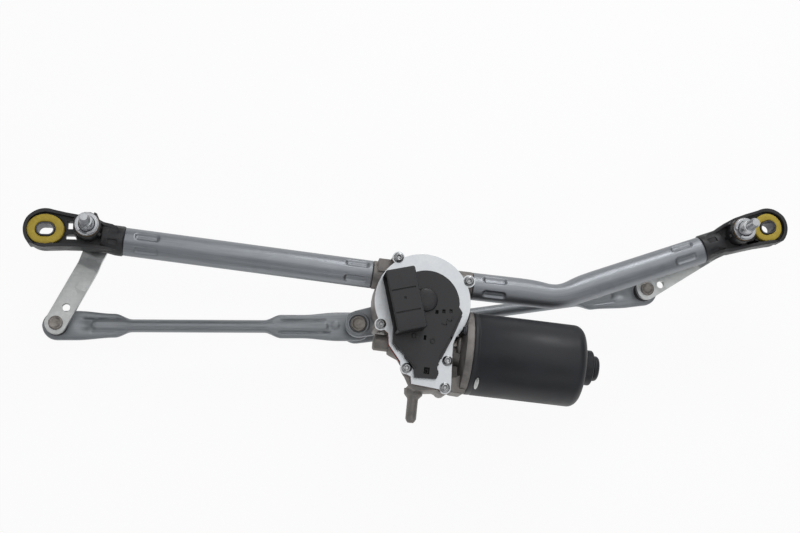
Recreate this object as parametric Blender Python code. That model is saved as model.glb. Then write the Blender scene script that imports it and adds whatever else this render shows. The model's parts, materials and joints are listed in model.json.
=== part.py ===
# Wiper linkage of a car: the tube frame, the geared motor, the two wiper pivots and the rods between them.
# Lengths are metres. X runs along the frame, Y towards the windscreen's upper edge, Z up along the wiper shafts.
# Heights are measured from the middle of the frame tubes, until the last lines stand the part on its bench.

import math

import bmesh
import bpy
from mathutils import Matrix, Vector

# Where the three shafts stand, seen from above
SHAFT_AT = Vector((0.0135, -0.0323, 0.0))
LEFT_PIVOT_AT = Vector((-0.2446, 0.0228, 0.0))
RIGHT_PIVOT_AT = Vector((0.2801, 0.0336, 0.0))

# The linkage at park
CRANK_RADIUS = 0.0449
CRANK_PARK = math.radians(-167.26)
LEFT_ARM_LENGTH = 0.0740
LEFT_ARM_PARK = math.radians(-110.49)
RIGHT_ARM_LENGTH = 0.08035
RIGHT_ARM_PARK = math.radians(-148.49)

# Facets round a turned piece: large ones, ordinary ones and small ones
LARGE_STEPS = 24
ROUND_STEPS = 14
SMALL_STEPS = 10
SCREW_STEPS = 8
RELIEF_STEPS = 48
BOWL_STEP = 9.0

# Gaps between pieces
GAP = 0.0003
RUNNING_GAP = 0.0002
BALL_GAP = 0.0005

# Frame tubes and their crimps
TUBE_RADIUS = 0.0110
TUBE_WALL = 0.0015
TUBE_SIDES = 16
BEND_RADIUS = 0.060
CRIMP_DEPTH = 0.0015
CRIMP_CENTRE = 0.0175
LEFT_CASTING_CRIMP_CENTRE = 0.0125
CRIMP_HALF_LENGTH = 0.0095
CRIMP_SLOPE = 0.2
CRIMP_ANGLES = (45.0, -45.0, 135.0, -135.0)
SPIGOT_PAST_CRIMP = 0.0050
SPIGOT_GAP = 0.0006
SPIGOT_ROOT = 0.0060
LEFT_TUBE_FROM_PIVOT = Vector((0.0274, -0.0083, 0.0))
LEFT_TUBE_FROM_SHAFT = Vector((-0.0364, 0.0252, 0.0))
RIGHT_TUBE_FROM_SHAFT = Vector((0.0441, 0.0175, 0.0))
RIGHT_BEND_FROM_SHAFT = Vector((0.1155, 0.0109, 0.0))
RIGHT_TUBE_FROM_PIVOT = Vector((-0.0308, -0.0138, 0.0))

# Wiper pivots
BARREL_RADIUS = 0.0103
BARREL_BOTTOM = -0.0200
BARREL_TOP = 0.0195
PIVOT_SHAFT_RADIUS = 0.0060
BUSH_WALL = 0.0022
BUSH_LIP = 0.0012
SHAFT_TIP = 0.0460
THREAD_RADIUS = 0.0040
CONE_TOP_RADIUS = 0.0048
CONE_TOP = 0.0330
CONE_LENGTH = 0.0070
SHAFT_RIVET_RADIUS = 0.0045
SHAFT_HEAD_RADIUS = 0.0072
SHAFT_HEAD_HEIGHT = 0.0014
WASHER_RADIUS = 0.0092
WASHER_THICKNESS = 0.0014
CLIP_RADIUS = 0.0084
CLIP_THICKNESS = 0.0010
COLLAR_RADIUS = 0.0134
COLLAR_LENGTH = 0.0170
WEB_BOTTOM = -0.0030
WEB_TOP = 0.0050
RIM_BOTTOM = -0.0070
RIM_TOP = 0.0095
RIM_WIDTH = 0.0026
RIM_IN_COLLAR = 0.0040
RIM_UNDER_COLLAR = 0.0012
EYE_WELL_GAP = 0.0008
BARREL_RIB_WIDTH = 0.0022
BARREL_RIB_DEPTH = 0.0016
BARREL_RIB_INSET = 0.0030
COLLAR_POCKETS = (0.0062, -0.0042)
COLLAR_POCKET_HALF_WIDTH = 0.0024
COLLAR_POCKET_ENDS = (-0.0125, -0.0050)
COLLAR_POCKET_FLOOR = 0.0098
EYE_PLATE_HALF = 0.0025
EYE_STEPS = 18
EYE_MIDDLE = 0.0010
LEFT_EYE_FROM_PIVOT = Vector((-0.0328, -0.0015, 0.0))
RIGHT_EYE_FROM_PIVOT = Vector((0.0252, 0.0052, 0.0))
LEFT_EYE_HALF = (0.0178, 0.0168)
RIGHT_EYE_HALF = (0.0165, 0.0165)
LEFT_GROMMET_HALF = (0.0148, 0.0122)
RIGHT_GROMMET_HALF = (0.0120, 0.0118)
GROMMET_HEIGHT = 0.0150
GROMMET_GROOVE = 0.0028
SLEEVE_HEIGHT = 0.0164
SLEEVE_WALL = 0.0012
LEFT_SLOT_HALF = (0.0062, 0.0042)
RIGHT_SLOT_HALF = (0.0056, 0.0042)
RIGHT_EYE_TURN = math.radians(20.0)
BARREL_RIB_ANGLES = (150.0, 205.0, -35.0, 60.0)
LEFT_RIM_AT_PIVOT = 0.0080
RIGHT_RIM_AT_PIVOT = 0.0125
LEFT_WINDOWS = (((-0.0165, -0.0005), (-0.0122, 0.0058)), ((-0.0176, -0.0086), (-0.0090, -0.0048)))
RIGHT_WINDOWS = (((0.0100, -0.0090), (0.0150, -0.0060)),)

# Arms, ball studs and sockets
ARM_THICKNESS = 0.0040
ARM_INNER_TOP = -0.0210
ARM_JOGGLE = 0.0060
ARM_JOGGLE_START = 0.0060
ARM_JOGGLE_LENGTH = 0.0100
LEFT_ARM_BEND = Vector((0.0147, 0.0067, 0.0))
RIGHT_ARM_BEND = Vector((0.0160, 0.0, 0.0))
LEFT_GAUGE_HOLE = (-0.0139, 0.0042)
RIGHT_GAUGE_HOLE = (-0.0110, 0.0012)
ARM_BEND_HALF = 0.0088
ARM_INNER_HALF = 0.0105
ARM_OUTER_HALF = 0.0088
ARM_HOLE_RADIUS = 0.0031
BALL_RADIUS = 0.0065
NECK_RADIUS = 0.0038
STUD_FLANGE_RADIUS = 0.0072
STUD_FLANGE_THICKNESS = 0.0020
STUD_DROP = 0.0100
RIVET_RADIUS = 0.0056
RIVET_HEIGHT = 0.0014
RIVET_SHANK_RADIUS = 0.0036
SOCKET_RADIUS = 0.0088
SOCKET_TOP_RADIUS = 0.0080
SOCKET_HALF_HEIGHT = 0.0060
SOCKET_LIP_RADIUS = 0.0106
SOCKET_LIP_HEIGHT = 0.0016
SOCKET_FLOOR = 0.0016

# Rods
ROD_RADIUS = 0.0052
ROD_END_HALF_WIDTH = 0.0118
ROD_END_HALF_HEIGHT = 0.0030
ROD_PINCH_HALF_HEIGHT = 0.0019
ROD_INNER_END_LENGTH = 0.0620
ROD_OUTER_END_LENGTH = 0.0450
ROD_TAPER_LENGTH = 0.0130
ROD_SIDES = 12

# Motor crank
CRANK_TOP = -0.0295
CRANK_THICKNESS = 0.0045
CRANK_HUB_RADIUS = 0.0130
OUTPUT_FOOT_RADIUS = 0.0048
CRANK_END_RADIUS = 0.0110
NUT_ACROSS_FLATS = 0.0150
NUT_HEIGHT = 0.0052
UPPER_BALL = -0.0460
LOWER_BALL = -0.0610

# Gears: a single-start worm and its wheel
TOOTH_COUNT = 42
GEAR_MODULE = 0.0013
WORM_PITCH_RADIUS = 0.0062
TOOTH_HEIGHT_OUT = 0.0010
TOOTH_HEIGHT_IN = 0.0017
THREAD_HEIGHT_OUT = 0.0013
THREAD_HEIGHT_IN = 0.0014
TOOTH_WIDTH = 0.0016
THREAD_WIDTH = 0.0015
PRESSURE_ANGLE = math.radians(14.5)
WHEEL_THICKNESS = 0.0110
WHEEL_WEB = 0.0040
WHEEL_HUB_RADIUS = 0.0100
WORM_TURNS = 5
WORM_STEPS = 10
OUTPUT_RADIUS = 0.0060
WORM_HEIGHT = 0.0070
MOTOR_TURN = math.radians(-5.93)

# Gear housing, measured in the motor's own directions: along the motor, across it, and up
BOWL_CENTRE = (0.0018, 0.0006)
BOWL_WALL = 0.0070
BOWL_START = -41.0
LOBE_RADIUS = 0.0054
BOWL_SCREWS = ((124.86, 0.0016), (30.62, 0.0026), (215.2, 0.0))
CASE_SCREWS = ((-0.0056, -0.0529), (0.0255, -0.0436), (0.0255, -0.0646))
HOUSING_TOP = 0.0188
HOUSING_BOTTOM = -0.0100
CHAMBER_FLOOR = -0.0055
CHAMBER_CLEARANCE = 0.0025
WORM_CASE_RADIUS = 0.0122
WORM_BORE_RADIUS = 0.0088
WORM_CASE_START = -0.0325
WORM_CASE_SHOULDER = -0.0205
TAIL_CASE_RADIUS = 0.0064
TAIL_BORE_RADIUS = 0.0047
CASE_END_WALL = 0.0025
FLANGE_WEBS = (
    ((0.0248, -0.0660, -0.0085), (0.0378, -0.0620, 0.0150)),
    ((0.0298, -0.0360, 0.0150), (0.0378, -0.0310, 0.0260)),
    ((0.0248, -0.0040, -0.0085), (0.0378, 0.0010, 0.0150)),
)
COLLAR_PAD = ((-0.0350, 0.0225, 0.0040), (-0.0240, 0.0325, 0.0135))
FLANGE_RADIUS = 0.0325
FLANGE_START = 0.0356
FLANGE_END = 0.0428
BOSS_RADIUS = 0.0120
BOSS_BOTTOM = -0.0270
OUTPUT_BUSH_WALL = 0.0025
PEG_RADIUS = 0.0048
PEG_AT = 0.0039
PEG_START = -0.0660
PEG_END = -0.0925
PEG_HEIGHT = 0.0020
CASTING_COLLAR_RADIUS = 0.0112
CASTING_COLLAR_LENGTH = 0.0130
UNDERSIDE_RIB_ANGLES = (0.0, 45.0, 90.0, 135.0, 180.0, 225.0, 315.0)
UNDERSIDE_RIB_WIDTH = 0.0024
COVER_LEFT_EDGE = ((-0.0225, -0.0275), (-0.0212, -0.0362), (-0.0112, -0.0482))
COVER_LOWER_EDGE = ((-0.0018, -0.0590), (-0.0008, -0.0646), (0.0215, -0.0662))
COVER_RIGHT_EDGE = ((0.0302, -0.0600), (0.0292, -0.0446), (0.0286, -0.0300))
BODY_LEFT_EDGE = ((-0.0225, -0.0275), (-0.0205, -0.0350), (-0.0137, -0.0407))
BODY_LOWER_EDGE = ((-0.0029, -0.0659), (0.0033, -0.0690), (0.0195, -0.0668))
BODY_RIGHT_EDGE = ((0.0303, -0.0660),)
WORM_TAIL_RADIUS = 0.0030
WORM_TAIL_END = -0.0290
TAIL_BUSH_LENGTH = 0.0060
DRIVE_BUSH_START = 0.0258
DRIVE_BUSH_LENGTH = 0.0090
MOTOR_SCREW_LENGTH = 0.0100

# Cover plate, gasket and connector cover
GASKET_THICKNESS = 0.0006
COVER_THICKNESS = 0.0019
SCREW_HOLE_RADIUS = 0.0024
SCREW_SHANK_RADIUS = 0.0021
SCREW_HEAD_RADIUS = 0.0040
SCREW_HEAD_HEIGHT = 0.0026
SCREW_SOCKET_RADIUS = 0.0020
SCREW_LENGTH = 0.0090
CAP_THICKNESS = 0.0045
CAP_RADIUS = 0.0262
CAP_CENTRE = (0.0042, -0.0015)
HUB_CENTRE = (0.0033, 0.0012)
HUB_RADIUS = 0.0092
HUB_HEIGHT = 0.0035
PLUG_CENTRE = (-0.0137, -0.0029)
PLUG_HALF_WIDTH = 0.0116
PLUG_HALF_LENGTH = 0.0242
PLUG_TURN = math.radians(17.5)
PLUG_TOP = 0.0450
PLUG_WALL = 0.0020
PLUG_CORNER = 0.0014
PLUG_DEPTH = 0.0150
PIN_COUNT = 5
PIN_HALF = 0.0006

# Motor
CAN_RADIUS = 0.0325
CAN_WALL = 0.0018
CAN_START = 0.0431
CAN_END = 0.1334
CAN_CORNER = 0.0080
END_BOSS_RADIUS = 0.0140
END_BOSS_END = 0.1399
END_CAP_RADIUS = 0.0110
END_CAP_END = 0.1446
ARMATURE_SHAFT_RADIUS = 0.0040
ARMATURE_END = 0.1410
AIR_GAP = 0.0008
CORE_START = 0.0698
CORE_LENGTH = 0.0420
CORE_SLOTS = 8
SLOT_HALF_WIDTH = 0.0026
SLOT_BOTTOM = 0.0110
WINDING_LENGTH = 0.0070
COMMUTATOR_RADIUS = 0.0110
COMMUTATOR_START = 0.0468
COMMUTATOR_LENGTH = 0.0130
MAGNET_THICKNESS = 0.0060
MAGNET_HALF_ANGLE = math.radians(62.0)
MAGNET_START = 0.0678
MAGNET_LENGTH = 0.0460
BRUSH_PLATE_THICKNESS = 0.0022
BRUSH_HALF = 0.0028
BRUSH_LENGTH = 0.0120
MOTOR_SCREW_CIRCLE = 0.0275
MOTOR_SCREW_ANGLES = (60.0, -120.0)
BRUSH_ANGLES = (150.0, -30.0)


# Scene and materials

def clear_scene():
    for old in list(bpy.data.objects):
        bpy.data.objects.remove(old, do_unlink=True)


def make_material(name, colour, roughness, metallic):
    material = bpy.data.materials.new(name)
    material.use_nodes = True
    shader = material.node_tree.nodes["Principled BSDF"]
    shader.inputs["Base Color"].default_value = (*colour, 1.0)
    shader.inputs["Roughness"].default_value = roughness
    shader.inputs["Metallic"].default_value = metallic
    material.diffuse_color = (*colour, 1.0)
    return material


def make_empty(name, matrix, parent=None):
    empty = bpy.data.objects.new(name, None)
    bpy.context.scene.collection.objects.link(empty)
    empty.parent = parent
    empty.matrix_local = matrix
    return empty


def make_object(name, shape, parent):
    bmesh.ops.remove_doubles(shape, verts=shape.verts, dist=1e-6)
    bmesh.ops.recalc_face_normals(shape, faces=shape.faces)
    mesh = bpy.data.meshes.new(name)
    shape.to_mesh(mesh)
    shape.free()
    thing = bpy.data.objects.new(name, mesh)
    bpy.context.scene.collection.objects.link(thing)
    thing.parent = parent
    return thing


def make_piece(name, shape, material, parent):
    piece = make_object(name, shape, parent)
    piece.data.materials.append(material)
    piece.data.shade_smooth()
    piece.data.set_sharp_from_angle(angle=math.radians(32.0))
    return piece


def make_tool(name, shape, parent):
    tool = make_object(name, shape, parent)
    tool.hide_render = True
    tool.display_type = "WIRE"
    return tool


def combine(piece, name, shape, parent, operation):
    tool = make_tool(name, shape, parent)
    modifier = piece.modifiers.new(name, "BOOLEAN")
    modifier.operation = operation
    modifier.solver = "EXACT"
    modifier.object = tool
    return tool


def add(piece, name, shape, parent):
    return combine(piece, name, shape, parent, "UNION")


def cut(piece, name, shape, parent):
    return combine(piece, name, shape, parent, "DIFFERENCE")


# Shapes

def circle_points(centre, radius, start, end, steps):
    points = []
    for step in range(steps + 1):
        angle = math.radians(start + (end - start) * step / steps)
        points.append((centre[0] + radius * math.cos(angle), centre[1] + radius * math.sin(angle)))
    return points


def ellipse_points(half, steps, turn=0.0):
    points = []
    for step in range(steps):
        angle = 2.0 * math.pi * step / steps
        x = half[0] * math.cos(angle)
        y = half[1] * math.sin(angle)
        points.append((x * math.cos(turn) - y * math.sin(turn), x * math.sin(turn) + y * math.cos(turn)))
    return points


def moved(points, offset):
    return [(x + offset[0], y + offset[1]) for x, y in points]


def turned(profile, steps, closed=True):
    """A profile of (radius, height) points, spun round the Z axis."""
    shape = bmesh.new()
    verts = [shape.verts.new((radius, 0.0, height)) for radius, height in profile]
    edges = [shape.edges.new(pair) for pair in zip(verts, verts[1:])]
    if closed:
        edges.append(shape.edges.new((verts[-1], verts[0])))
    bmesh.ops.spin(shape, geom=verts + edges, cent=(0, 0, 0), axis=(0, 0, 1),
                   angle=2.0 * math.pi, steps=steps, use_merge=True)
    bmesh.ops.remove_doubles(shape, verts=shape.verts, dist=1e-6)
    return shape


def disc(radius, bottom, top, steps=ROUND_STEPS):
    return turned([(0.0, bottom), (radius, bottom), (radius, top), (0.0, top)], steps, closed=False)


def ring(outer, inner, bottom, top, steps=ROUND_STEPS):
    return turned([(inner, bottom), (outer, bottom), (outer, top), (inner, top)], steps)


def plate(outline, bottom, top, holes=()):
    """A flat outline with holes, raised from bottom to top."""
    shape = bmesh.new()
    edges = []
    for loop in (outline, *holes):
        verts = [shape.verts.new((x, y, bottom)) for x, y in loop]
        edges += [shape.edges.new((verts[i - 1], verts[i])) for i in range(len(verts))]
    bmesh.ops.triangle_fill(shape, use_beauty=True, use_dissolve=False, edges=edges, normal=(0, 0, 1))
    faces = list(shape.faces)
    raised = bmesh.ops.extrude_face_region(shape, geom=faces, use_keep_orig=True)
    lifted = [item for item in raised["geom"] if isinstance(item, bmesh.types.BMVert)]
    bmesh.ops.translate(shape, verts=lifted, vec=(0, 0, top - bottom))
    return shape


def box(low, high):
    shape = bmesh.new()
    bmesh.ops.create_cube(shape, size=1.0)
    size = [high[axis] - low[axis] for axis in range(3)]
    middle = [(high[axis] + low[axis]) / 2.0 for axis in range(3)]
    bmesh.ops.scale(shape, verts=shape.verts, vec=size)
    bmesh.ops.translate(shape, verts=shape.verts, vec=middle)
    return shape


def loft(rings):
    """Closed rings of points joined one to the next, with both ends capped."""
    shape = bmesh.new()
    rows = [[shape.verts.new(point) for point in points] for points in rings]
    for first, second in zip(rows, rows[1:]):
        join_rows(shape, first, second)
    shape.faces.new(rows[0])
    shape.faces.new(rows[-1])
    return shape


def join_rows(shape, first, second):
    for i in range(len(first)):
        shape.faces.new((first[i - 1], first[i], second[i], second[i - 1]))


def placed(shape, matrix):
    bmesh.ops.transform(shape, matrix=matrix, verts=shape.verts)
    return shape


def turn_about_z(angle):
    return Matrix.Rotation(angle, 4, "Z")


def standing_at(point, angle=0.0):
    return Matrix.Translation(point) @ turn_about_z(angle)


def polar(radius, angle, height=0.0):
    return Vector((radius * math.cos(angle), radius * math.sin(angle), height))


def direction_of(vector):
    return math.atan2(vector.y, vector.x)


# Frame tubes: a straight or bent centre line, and walls that dip at the crimps

def rounded_route(points, radius, steps=4):
    """The corner points of a route, with its inner corners rounded to a bend radius."""
    route = [points[0]]
    for before, corner, after in zip(points, points[1:], points[2:]):
        arrive = (corner - before).normalized()
        leave = (after - corner).normalized()
        turn = arrive.angle(leave)
        reach = radius * math.tan(turn / 2.0)
        start = corner - arrive * reach
        side = (leave - arrive).normalized()
        middle = corner + side * (radius / math.cos(turn / 2.0))
        sense = math.copysign(1.0, arrive.cross(leave).z)
        for step in range(steps + 1):
            route.append(middle + turn_about_z(sense * turn * step / steps) @ (start - middle))
    route.append(points[-1])
    return route


def crimp_stations(centre):
    """Distances from a tube's end where its wall needs a ring of points for the crimps there."""
    low = centre - CRIMP_HALF_LENGTH
    high = centre + CRIMP_HALF_LENGTH
    slope = CRIMP_HALF_LENGTH * CRIMP_SLOPE
    return [0.0, low, low + slope, high - slope, high]


def crimp_dip(from_middle, angle):
    """How far a tube wall is pressed in, at a distance from the crimps' middle and an angle round it in degrees."""
    if abs(from_middle) > CRIMP_HALF_LENGTH * 0.99:
        return 0.0
    dip = 0.0
    for middle in CRIMP_ANGLES:
        away = abs((angle - middle + 180.0) % 360.0 - 180.0)
        if away < 1.0:
            dip = CRIMP_DEPTH
        elif away < 360.0 / TUBE_SIDES + 1.0:
            dip = max(dip, CRIMP_DEPTH * 0.4)
    return dip


def wall_ring(point, direction, radius, from_middle):
    side = Vector((-direction.y, direction.x, 0.0))
    points = []
    for step in range(TUBE_SIDES):
        degrees = 360.0 * step / TUBE_SIDES
        angle = math.radians(degrees)
        reach = radius - crimp_dip(from_middle, degrees)
        points.append(point + side * (reach * math.sin(angle)) + Vector((0, 0, reach * math.cos(angle))))
    return points


def tube_shape(route, first_centre, last_centre):
    """A hollow tube along a route, crimped round a centre at a distance from each of its ends."""
    lengths = [0.0]
    for before, after in zip(route, route[1:]):
        lengths.append(lengths[-1] + (after - before).length)
    total = lengths[-1]
    far = [total - distance for distance in reversed(crimp_stations(last_centre))]
    stations = crimp_stations(first_centre) + lengths[1:-1] + far
    outer = []
    inner = []
    for distance in stations:
        index = max(i for i in range(len(route) - 1) if lengths[i] <= distance + 1e-7)
        share = (distance - lengths[index]) / (lengths[index + 1] - lengths[index])
        point = route[index].lerp(route[index + 1], share)
        direction = (route[index + 1] - route[index]).normalized()
        if distance in lengths and 0 < index:
            direction = (direction + (route[index] - route[index - 1]).normalized()).normalized()
        from_middle = min(abs(distance - first_centre), abs(total - distance - last_centre))
        outer.append(wall_ring(point, direction, TUBE_RADIUS, from_middle))
        inner.append(wall_ring(point, direction, TUBE_RADIUS - TUBE_WALL, from_middle))
    shape = bmesh.new()
    rows = [[shape.verts.new(point) for point in points] for points in outer + list(reversed(inner))]
    for i in range(len(rows)):
        join_rows(shape, rows[i - 1], rows[i])
    return shape


def spigot_shape(mouth, into_tube, centre):
    """The plug that a tube is crimped on: from inside its casting, through the tube's mouth, past the crimps."""
    radius = TUBE_RADIUS - TUBE_WALL - SPIGOT_GAP
    distances = [-SPIGOT_ROOT, *crimp_stations(centre), centre + CRIMP_HALF_LENGTH + SPIGOT_PAST_CRIMP]
    rings = [wall_ring(mouth + into_tube * distance, into_tube, radius, distance - centre) for distance in distances]
    return loft(rings)


def collar_shape(mouth, into_tube, radius, length):
    """A round shoulder that a tube's end butts against."""
    back = turned([(0.0, -length), (radius, -length), (radius, -GAP - 0.0008), (radius - 0.0008, -GAP),
                   (0.0, -GAP)], TUBE_SIDES, closed=False)
    aim = into_tube.to_track_quat("Z", "Y").to_matrix().to_4x4()
    return placed(back, Matrix.Translation(mouth) @ aim)


def build_tubes(root, material):
    left_route = [LEFT_PIVOT_AT + LEFT_TUBE_FROM_PIVOT, SHAFT_AT + LEFT_TUBE_FROM_SHAFT]
    right_route = rounded_route([
        SHAFT_AT + RIGHT_TUBE_FROM_SHAFT,
        SHAFT_AT + RIGHT_BEND_FROM_SHAFT,
        RIGHT_PIVOT_AT + RIGHT_TUBE_FROM_PIVOT,
    ], BEND_RADIUS)
    make_piece("left_tube", tube_shape(left_route, CRIMP_CENTRE, LEFT_CASTING_CRIMP_CENTRE), material, root)
    make_piece("right_tube", tube_shape(right_route, CRIMP_CENTRE, CRIMP_CENTRE), material, root)
    return left_route, right_route


# Pivot housings

def tangent_outline(circles, steps=5):
    """The outline round a row of circles, as a belt would lie round them."""
    points = []
    for centre, radius in circles:
        points += [Vector((x, y)) for x, y in circle_points(centre, radius, 0.0, 360.0, steps * 4)[:-1]]
    start = min(points, key=lambda point: (point.x, point.y))
    outline = [start]
    while True:
        here = outline[-1]
        following = points[0] if points[0] != here else points[1]
        for point in points:
            side = (following - here).cross(point - here)
            farther = (point - here).length > (following - here).length
            if side < -1e-12 or (abs(side) <= 1e-12 and farther):
                following = point
        if (following - start).length < 1e-9:
            break
        outline.append(following)
    return [(point.x, point.y) for point in outline]


def build_pivot_housing(side, pivot_at, eye_offset, eye_half, rim_at_pivot, grommet_half, eye_turn, mouth, into_tube,
                        windows, black, root):
    place = make_empty(f"{side}_housing_place", standing_at(pivot_at), root)
    eye = (eye_offset.x, eye_offset.y)
    from_tube = mouth - pivot_at
    heel = from_tube - into_tube * (COLLAR_LENGTH - RIM_IN_COLLAR)
    heel_radius = COLLAR_RADIUS - RIM_UNDER_COLLAR
    rim_outline, rim_inner = [
        tangent_outline([
            (eye, min(eye_half) - inset), ((0.0, 0.0), rim_at_pivot - inset), ((heel.x, heel.y), heel_radius - inset),
        ]) for inset in (0.0, RIM_WIDTH)
    ]
    name = f"{side}_pivot_housing"
    housing = make_piece(name, plate(rim_outline, RIM_BOTTOM, RIM_TOP), black, place)
    eye_low = EYE_MIDDLE - EYE_PLATE_HALF
    eye_high = EYE_MIDDLE + EYE_PLATE_HALF
    cut(housing, f"{side}_upper_pocket", plate(rim_inner, WEB_TOP, RIM_TOP + 0.01), place)
    cut(housing, f"{side}_lower_pocket", plate(rim_inner, RIM_BOTTOM - 0.01, WEB_BOTTOM), place)
    eye_well = moved(ellipse_points([half + EYE_WELL_GAP for half in grommet_half], EYE_STEPS, eye_turn), eye)
    cut(housing, f"{side}_eye_upper_well", plate(eye_well, eye_high, RIM_TOP + 0.02), place)
    cut(housing, f"{side}_eye_lower_well", plate(eye_well, RIM_BOTTOM - 0.02, eye_low), place)
    waist = [half - GROMMET_GROOVE for half in grommet_half]
    eye_hole = moved(ellipse_points(waist, EYE_STEPS, eye_turn), eye)
    cut(housing, f"{side}_eye_hole", plate(eye_hole, eye_low - 0.01, eye_high + 0.01), place)
    for count, (low, high) in enumerate(windows):
        window = box((low[0], low[1], RIM_BOTTOM - 0.02), (high[0], high[1], RIM_TOP + 0.02))
        cut(housing, f"{side}_window_{count}", window, place)
    add(housing, f"{side}_barrel", disc(BARREL_RADIUS, BARREL_BOTTOM, BARREL_TOP), place)
    for count, angle in enumerate(BARREL_RIB_ANGLES):
        rib = box((BARREL_RADIUS - BARREL_RIB_DEPTH / 2.0, -BARREL_RIB_WIDTH / 2.0, BARREL_BOTTOM + BARREL_RIB_INSET),
                  (BARREL_RADIUS + BARREL_RIB_DEPTH, BARREL_RIB_WIDTH / 2.0, BARREL_TOP - BARREL_RIB_INSET))
        add(housing, f"{side}_barrel_rib_{count}", placed(rib, turn_about_z(math.radians(angle))), place)
    add(housing, f"{side}_collar", collar_shape(mouth, into_tube, COLLAR_RADIUS, COLLAR_LENGTH), root)
    add(housing, f"{side}_spigot", spigot_shape(mouth, into_tube, CRIMP_CENTRE), root)
    bore = disc(PIVOT_SHAFT_RADIUS + BUSH_WALL + GAP, BARREL_BOTTOM - 0.01, BARREL_TOP + 0.01)
    cut(housing, f"{side}_barrel_bore", bore, place)
    aim = standing_at(mouth, direction_of(into_tube))
    low, high = COLLAR_POCKET_ENDS
    for count, across in enumerate(COLLAR_POCKETS):
        pocket = box((low, across - COLLAR_POCKET_HALF_WIDTH, COLLAR_POCKET_FLOOR),
                     (high, across + COLLAR_POCKET_HALF_WIDTH, COLLAR_RADIUS + COLLAR_POCKET_FLOOR))
        cut(housing, f"{side}_collar_pocket_{count}", placed(pocket, aim), root)
    return place


def build_grommet(side, eye_offset, grommet_half, slot_half, eye_turn, place, yellow, steel):
    eye = (eye_offset.x, eye_offset.y)
    eye_low = EYE_MIDDLE - EYE_PLATE_HALF
    eye_high = EYE_MIDDLE + EYE_PLATE_HALF
    waist = [half - GROMMET_GROOVE - GAP for half in grommet_half]
    bore = [half + SLEEVE_WALL + GAP for half in slot_half]
    heights = (
        (EYE_MIDDLE - GROMMET_HEIGHT / 2.0, [half - 0.0010 for half in grommet_half]),
        (EYE_MIDDLE - GROMMET_HEIGHT / 2.0 + 0.0010, grommet_half),
        (eye_low - GAP, grommet_half),
        (eye_low - GAP, waist),
        (eye_high + GAP, waist),
        (eye_high + GAP, grommet_half),
        (EYE_MIDDLE + GROMMET_HEIGHT / 2.0 - 0.0010, grommet_half),
        (EYE_MIDDLE + GROMMET_HEIGHT / 2.0, [half - 0.0010 for half in grommet_half]),
    )
    rings = []
    for height, half in heights:
        flat = moved(ellipse_points(half, EYE_STEPS, eye_turn), eye)
        rings.append([Vector((x, y, height)) for x, y in flat])
    grommet = make_piece(f"{side}_grommet", loft(rings), yellow, place)
    hole = moved(slot_outline(bore, eye_turn), eye)
    cut(grommet, f"{side}_grommet_bore", plate(hole, -0.03, 0.03), place)
    outer = moved(slot_outline([half + SLEEVE_WALL for half in slot_half], eye_turn), eye)
    inner = moved(slot_outline(slot_half, eye_turn), eye)
    sleeve = plate(outer, EYE_MIDDLE - SLEEVE_HEIGHT / 2.0, EYE_MIDDLE + SLEEVE_HEIGHT / 2.0, [inner])
    make_piece(f"{side}_grommet_sleeve", sleeve, steel, place)


def slot_outline(half, turn):
    """A slot with round ends: half its length and half its width."""
    reach = half[0] - half[1]
    ends = circle_points((reach, 0.0), half[1], -90.0, 90.0, 7)
    ends += circle_points((-reach, 0.0), half[1], 90.0, 270.0, 7)
    return [(x * math.cos(turn) - y * math.sin(turn), x * math.sin(turn) + y * math.cos(turn)) for x, y in ends]


def build_pivot_small_parts(side, place, bronze, steel):
    outer = PIVOT_SHAFT_RADIUS + BUSH_WALL
    inner = PIVOT_SHAFT_RADIUS + RUNNING_GAP
    lip_top = BARREL_TOP + GAP + BUSH_LIP
    bush = turned([
        (inner, lip_top), (inner, BARREL_BOTTOM), (outer, BARREL_BOTTOM),
        (outer, BARREL_TOP + GAP), (outer + BUSH_LIP, BARREL_TOP + GAP), (outer + BUSH_LIP, lip_top),
    ], ROUND_STEPS)
    make_piece(f"{side}_pivot_bush", bush, bronze, place)
    washer = ring(WASHER_RADIUS, inner, lip_top + GAP, lip_top + GAP + WASHER_THICKNESS)
    make_piece(f"{side}_washer", washer, steel, place)


# Moving pivots: the wiper shaft, its clip and the arm riveted to its foot

def clip_bottom():
    return BARREL_TOP + BUSH_LIP + WASHER_THICKNESS + 3.0 * GAP


def wiper_shaft_shape():
    arm_bottom = ARM_INNER_TOP - ARM_THICKNESS
    return turned([
        (0.0, arm_bottom - GAP - SHAFT_HEAD_HEIGHT),
        (SHAFT_HEAD_RADIUS - 0.0010, arm_bottom - GAP - SHAFT_HEAD_HEIGHT),
        (SHAFT_HEAD_RADIUS, arm_bottom - GAP),
        (SHAFT_RIVET_RADIUS, arm_bottom - GAP),
        (SHAFT_RIVET_RADIUS, ARM_INNER_TOP + GAP),
        (PIVOT_SHAFT_RADIUS, ARM_INNER_TOP + GAP),
        (PIVOT_SHAFT_RADIUS, CONE_TOP - CONE_LENGTH),
        (CONE_TOP_RADIUS, CONE_TOP),
        (THREAD_RADIUS, CONE_TOP),
        (THREAD_RADIUS, SHAFT_TIP - 0.0010),
        (THREAD_RADIUS - 0.0010, SHAFT_TIP),
        (0.0, SHAFT_TIP),
    ], ROUND_STEPS, closed=False)


def clip_shape():
    """An open ring: three quarters and more of a turn, so that it can be pushed into the shaft's groove."""
    inner = PIVOT_SHAFT_RADIUS + GAP
    outline = circle_points((0.0, 0.0), CLIP_RADIUS, 25.0, 335.0, ROUND_STEPS)
    outline += list(reversed(circle_points((0.0, 0.0), inner, 25.0, 335.0, ROUND_STEPS)))
    return plate(outline, clip_bottom(), clip_bottom() + CLIP_THICKNESS)


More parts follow.
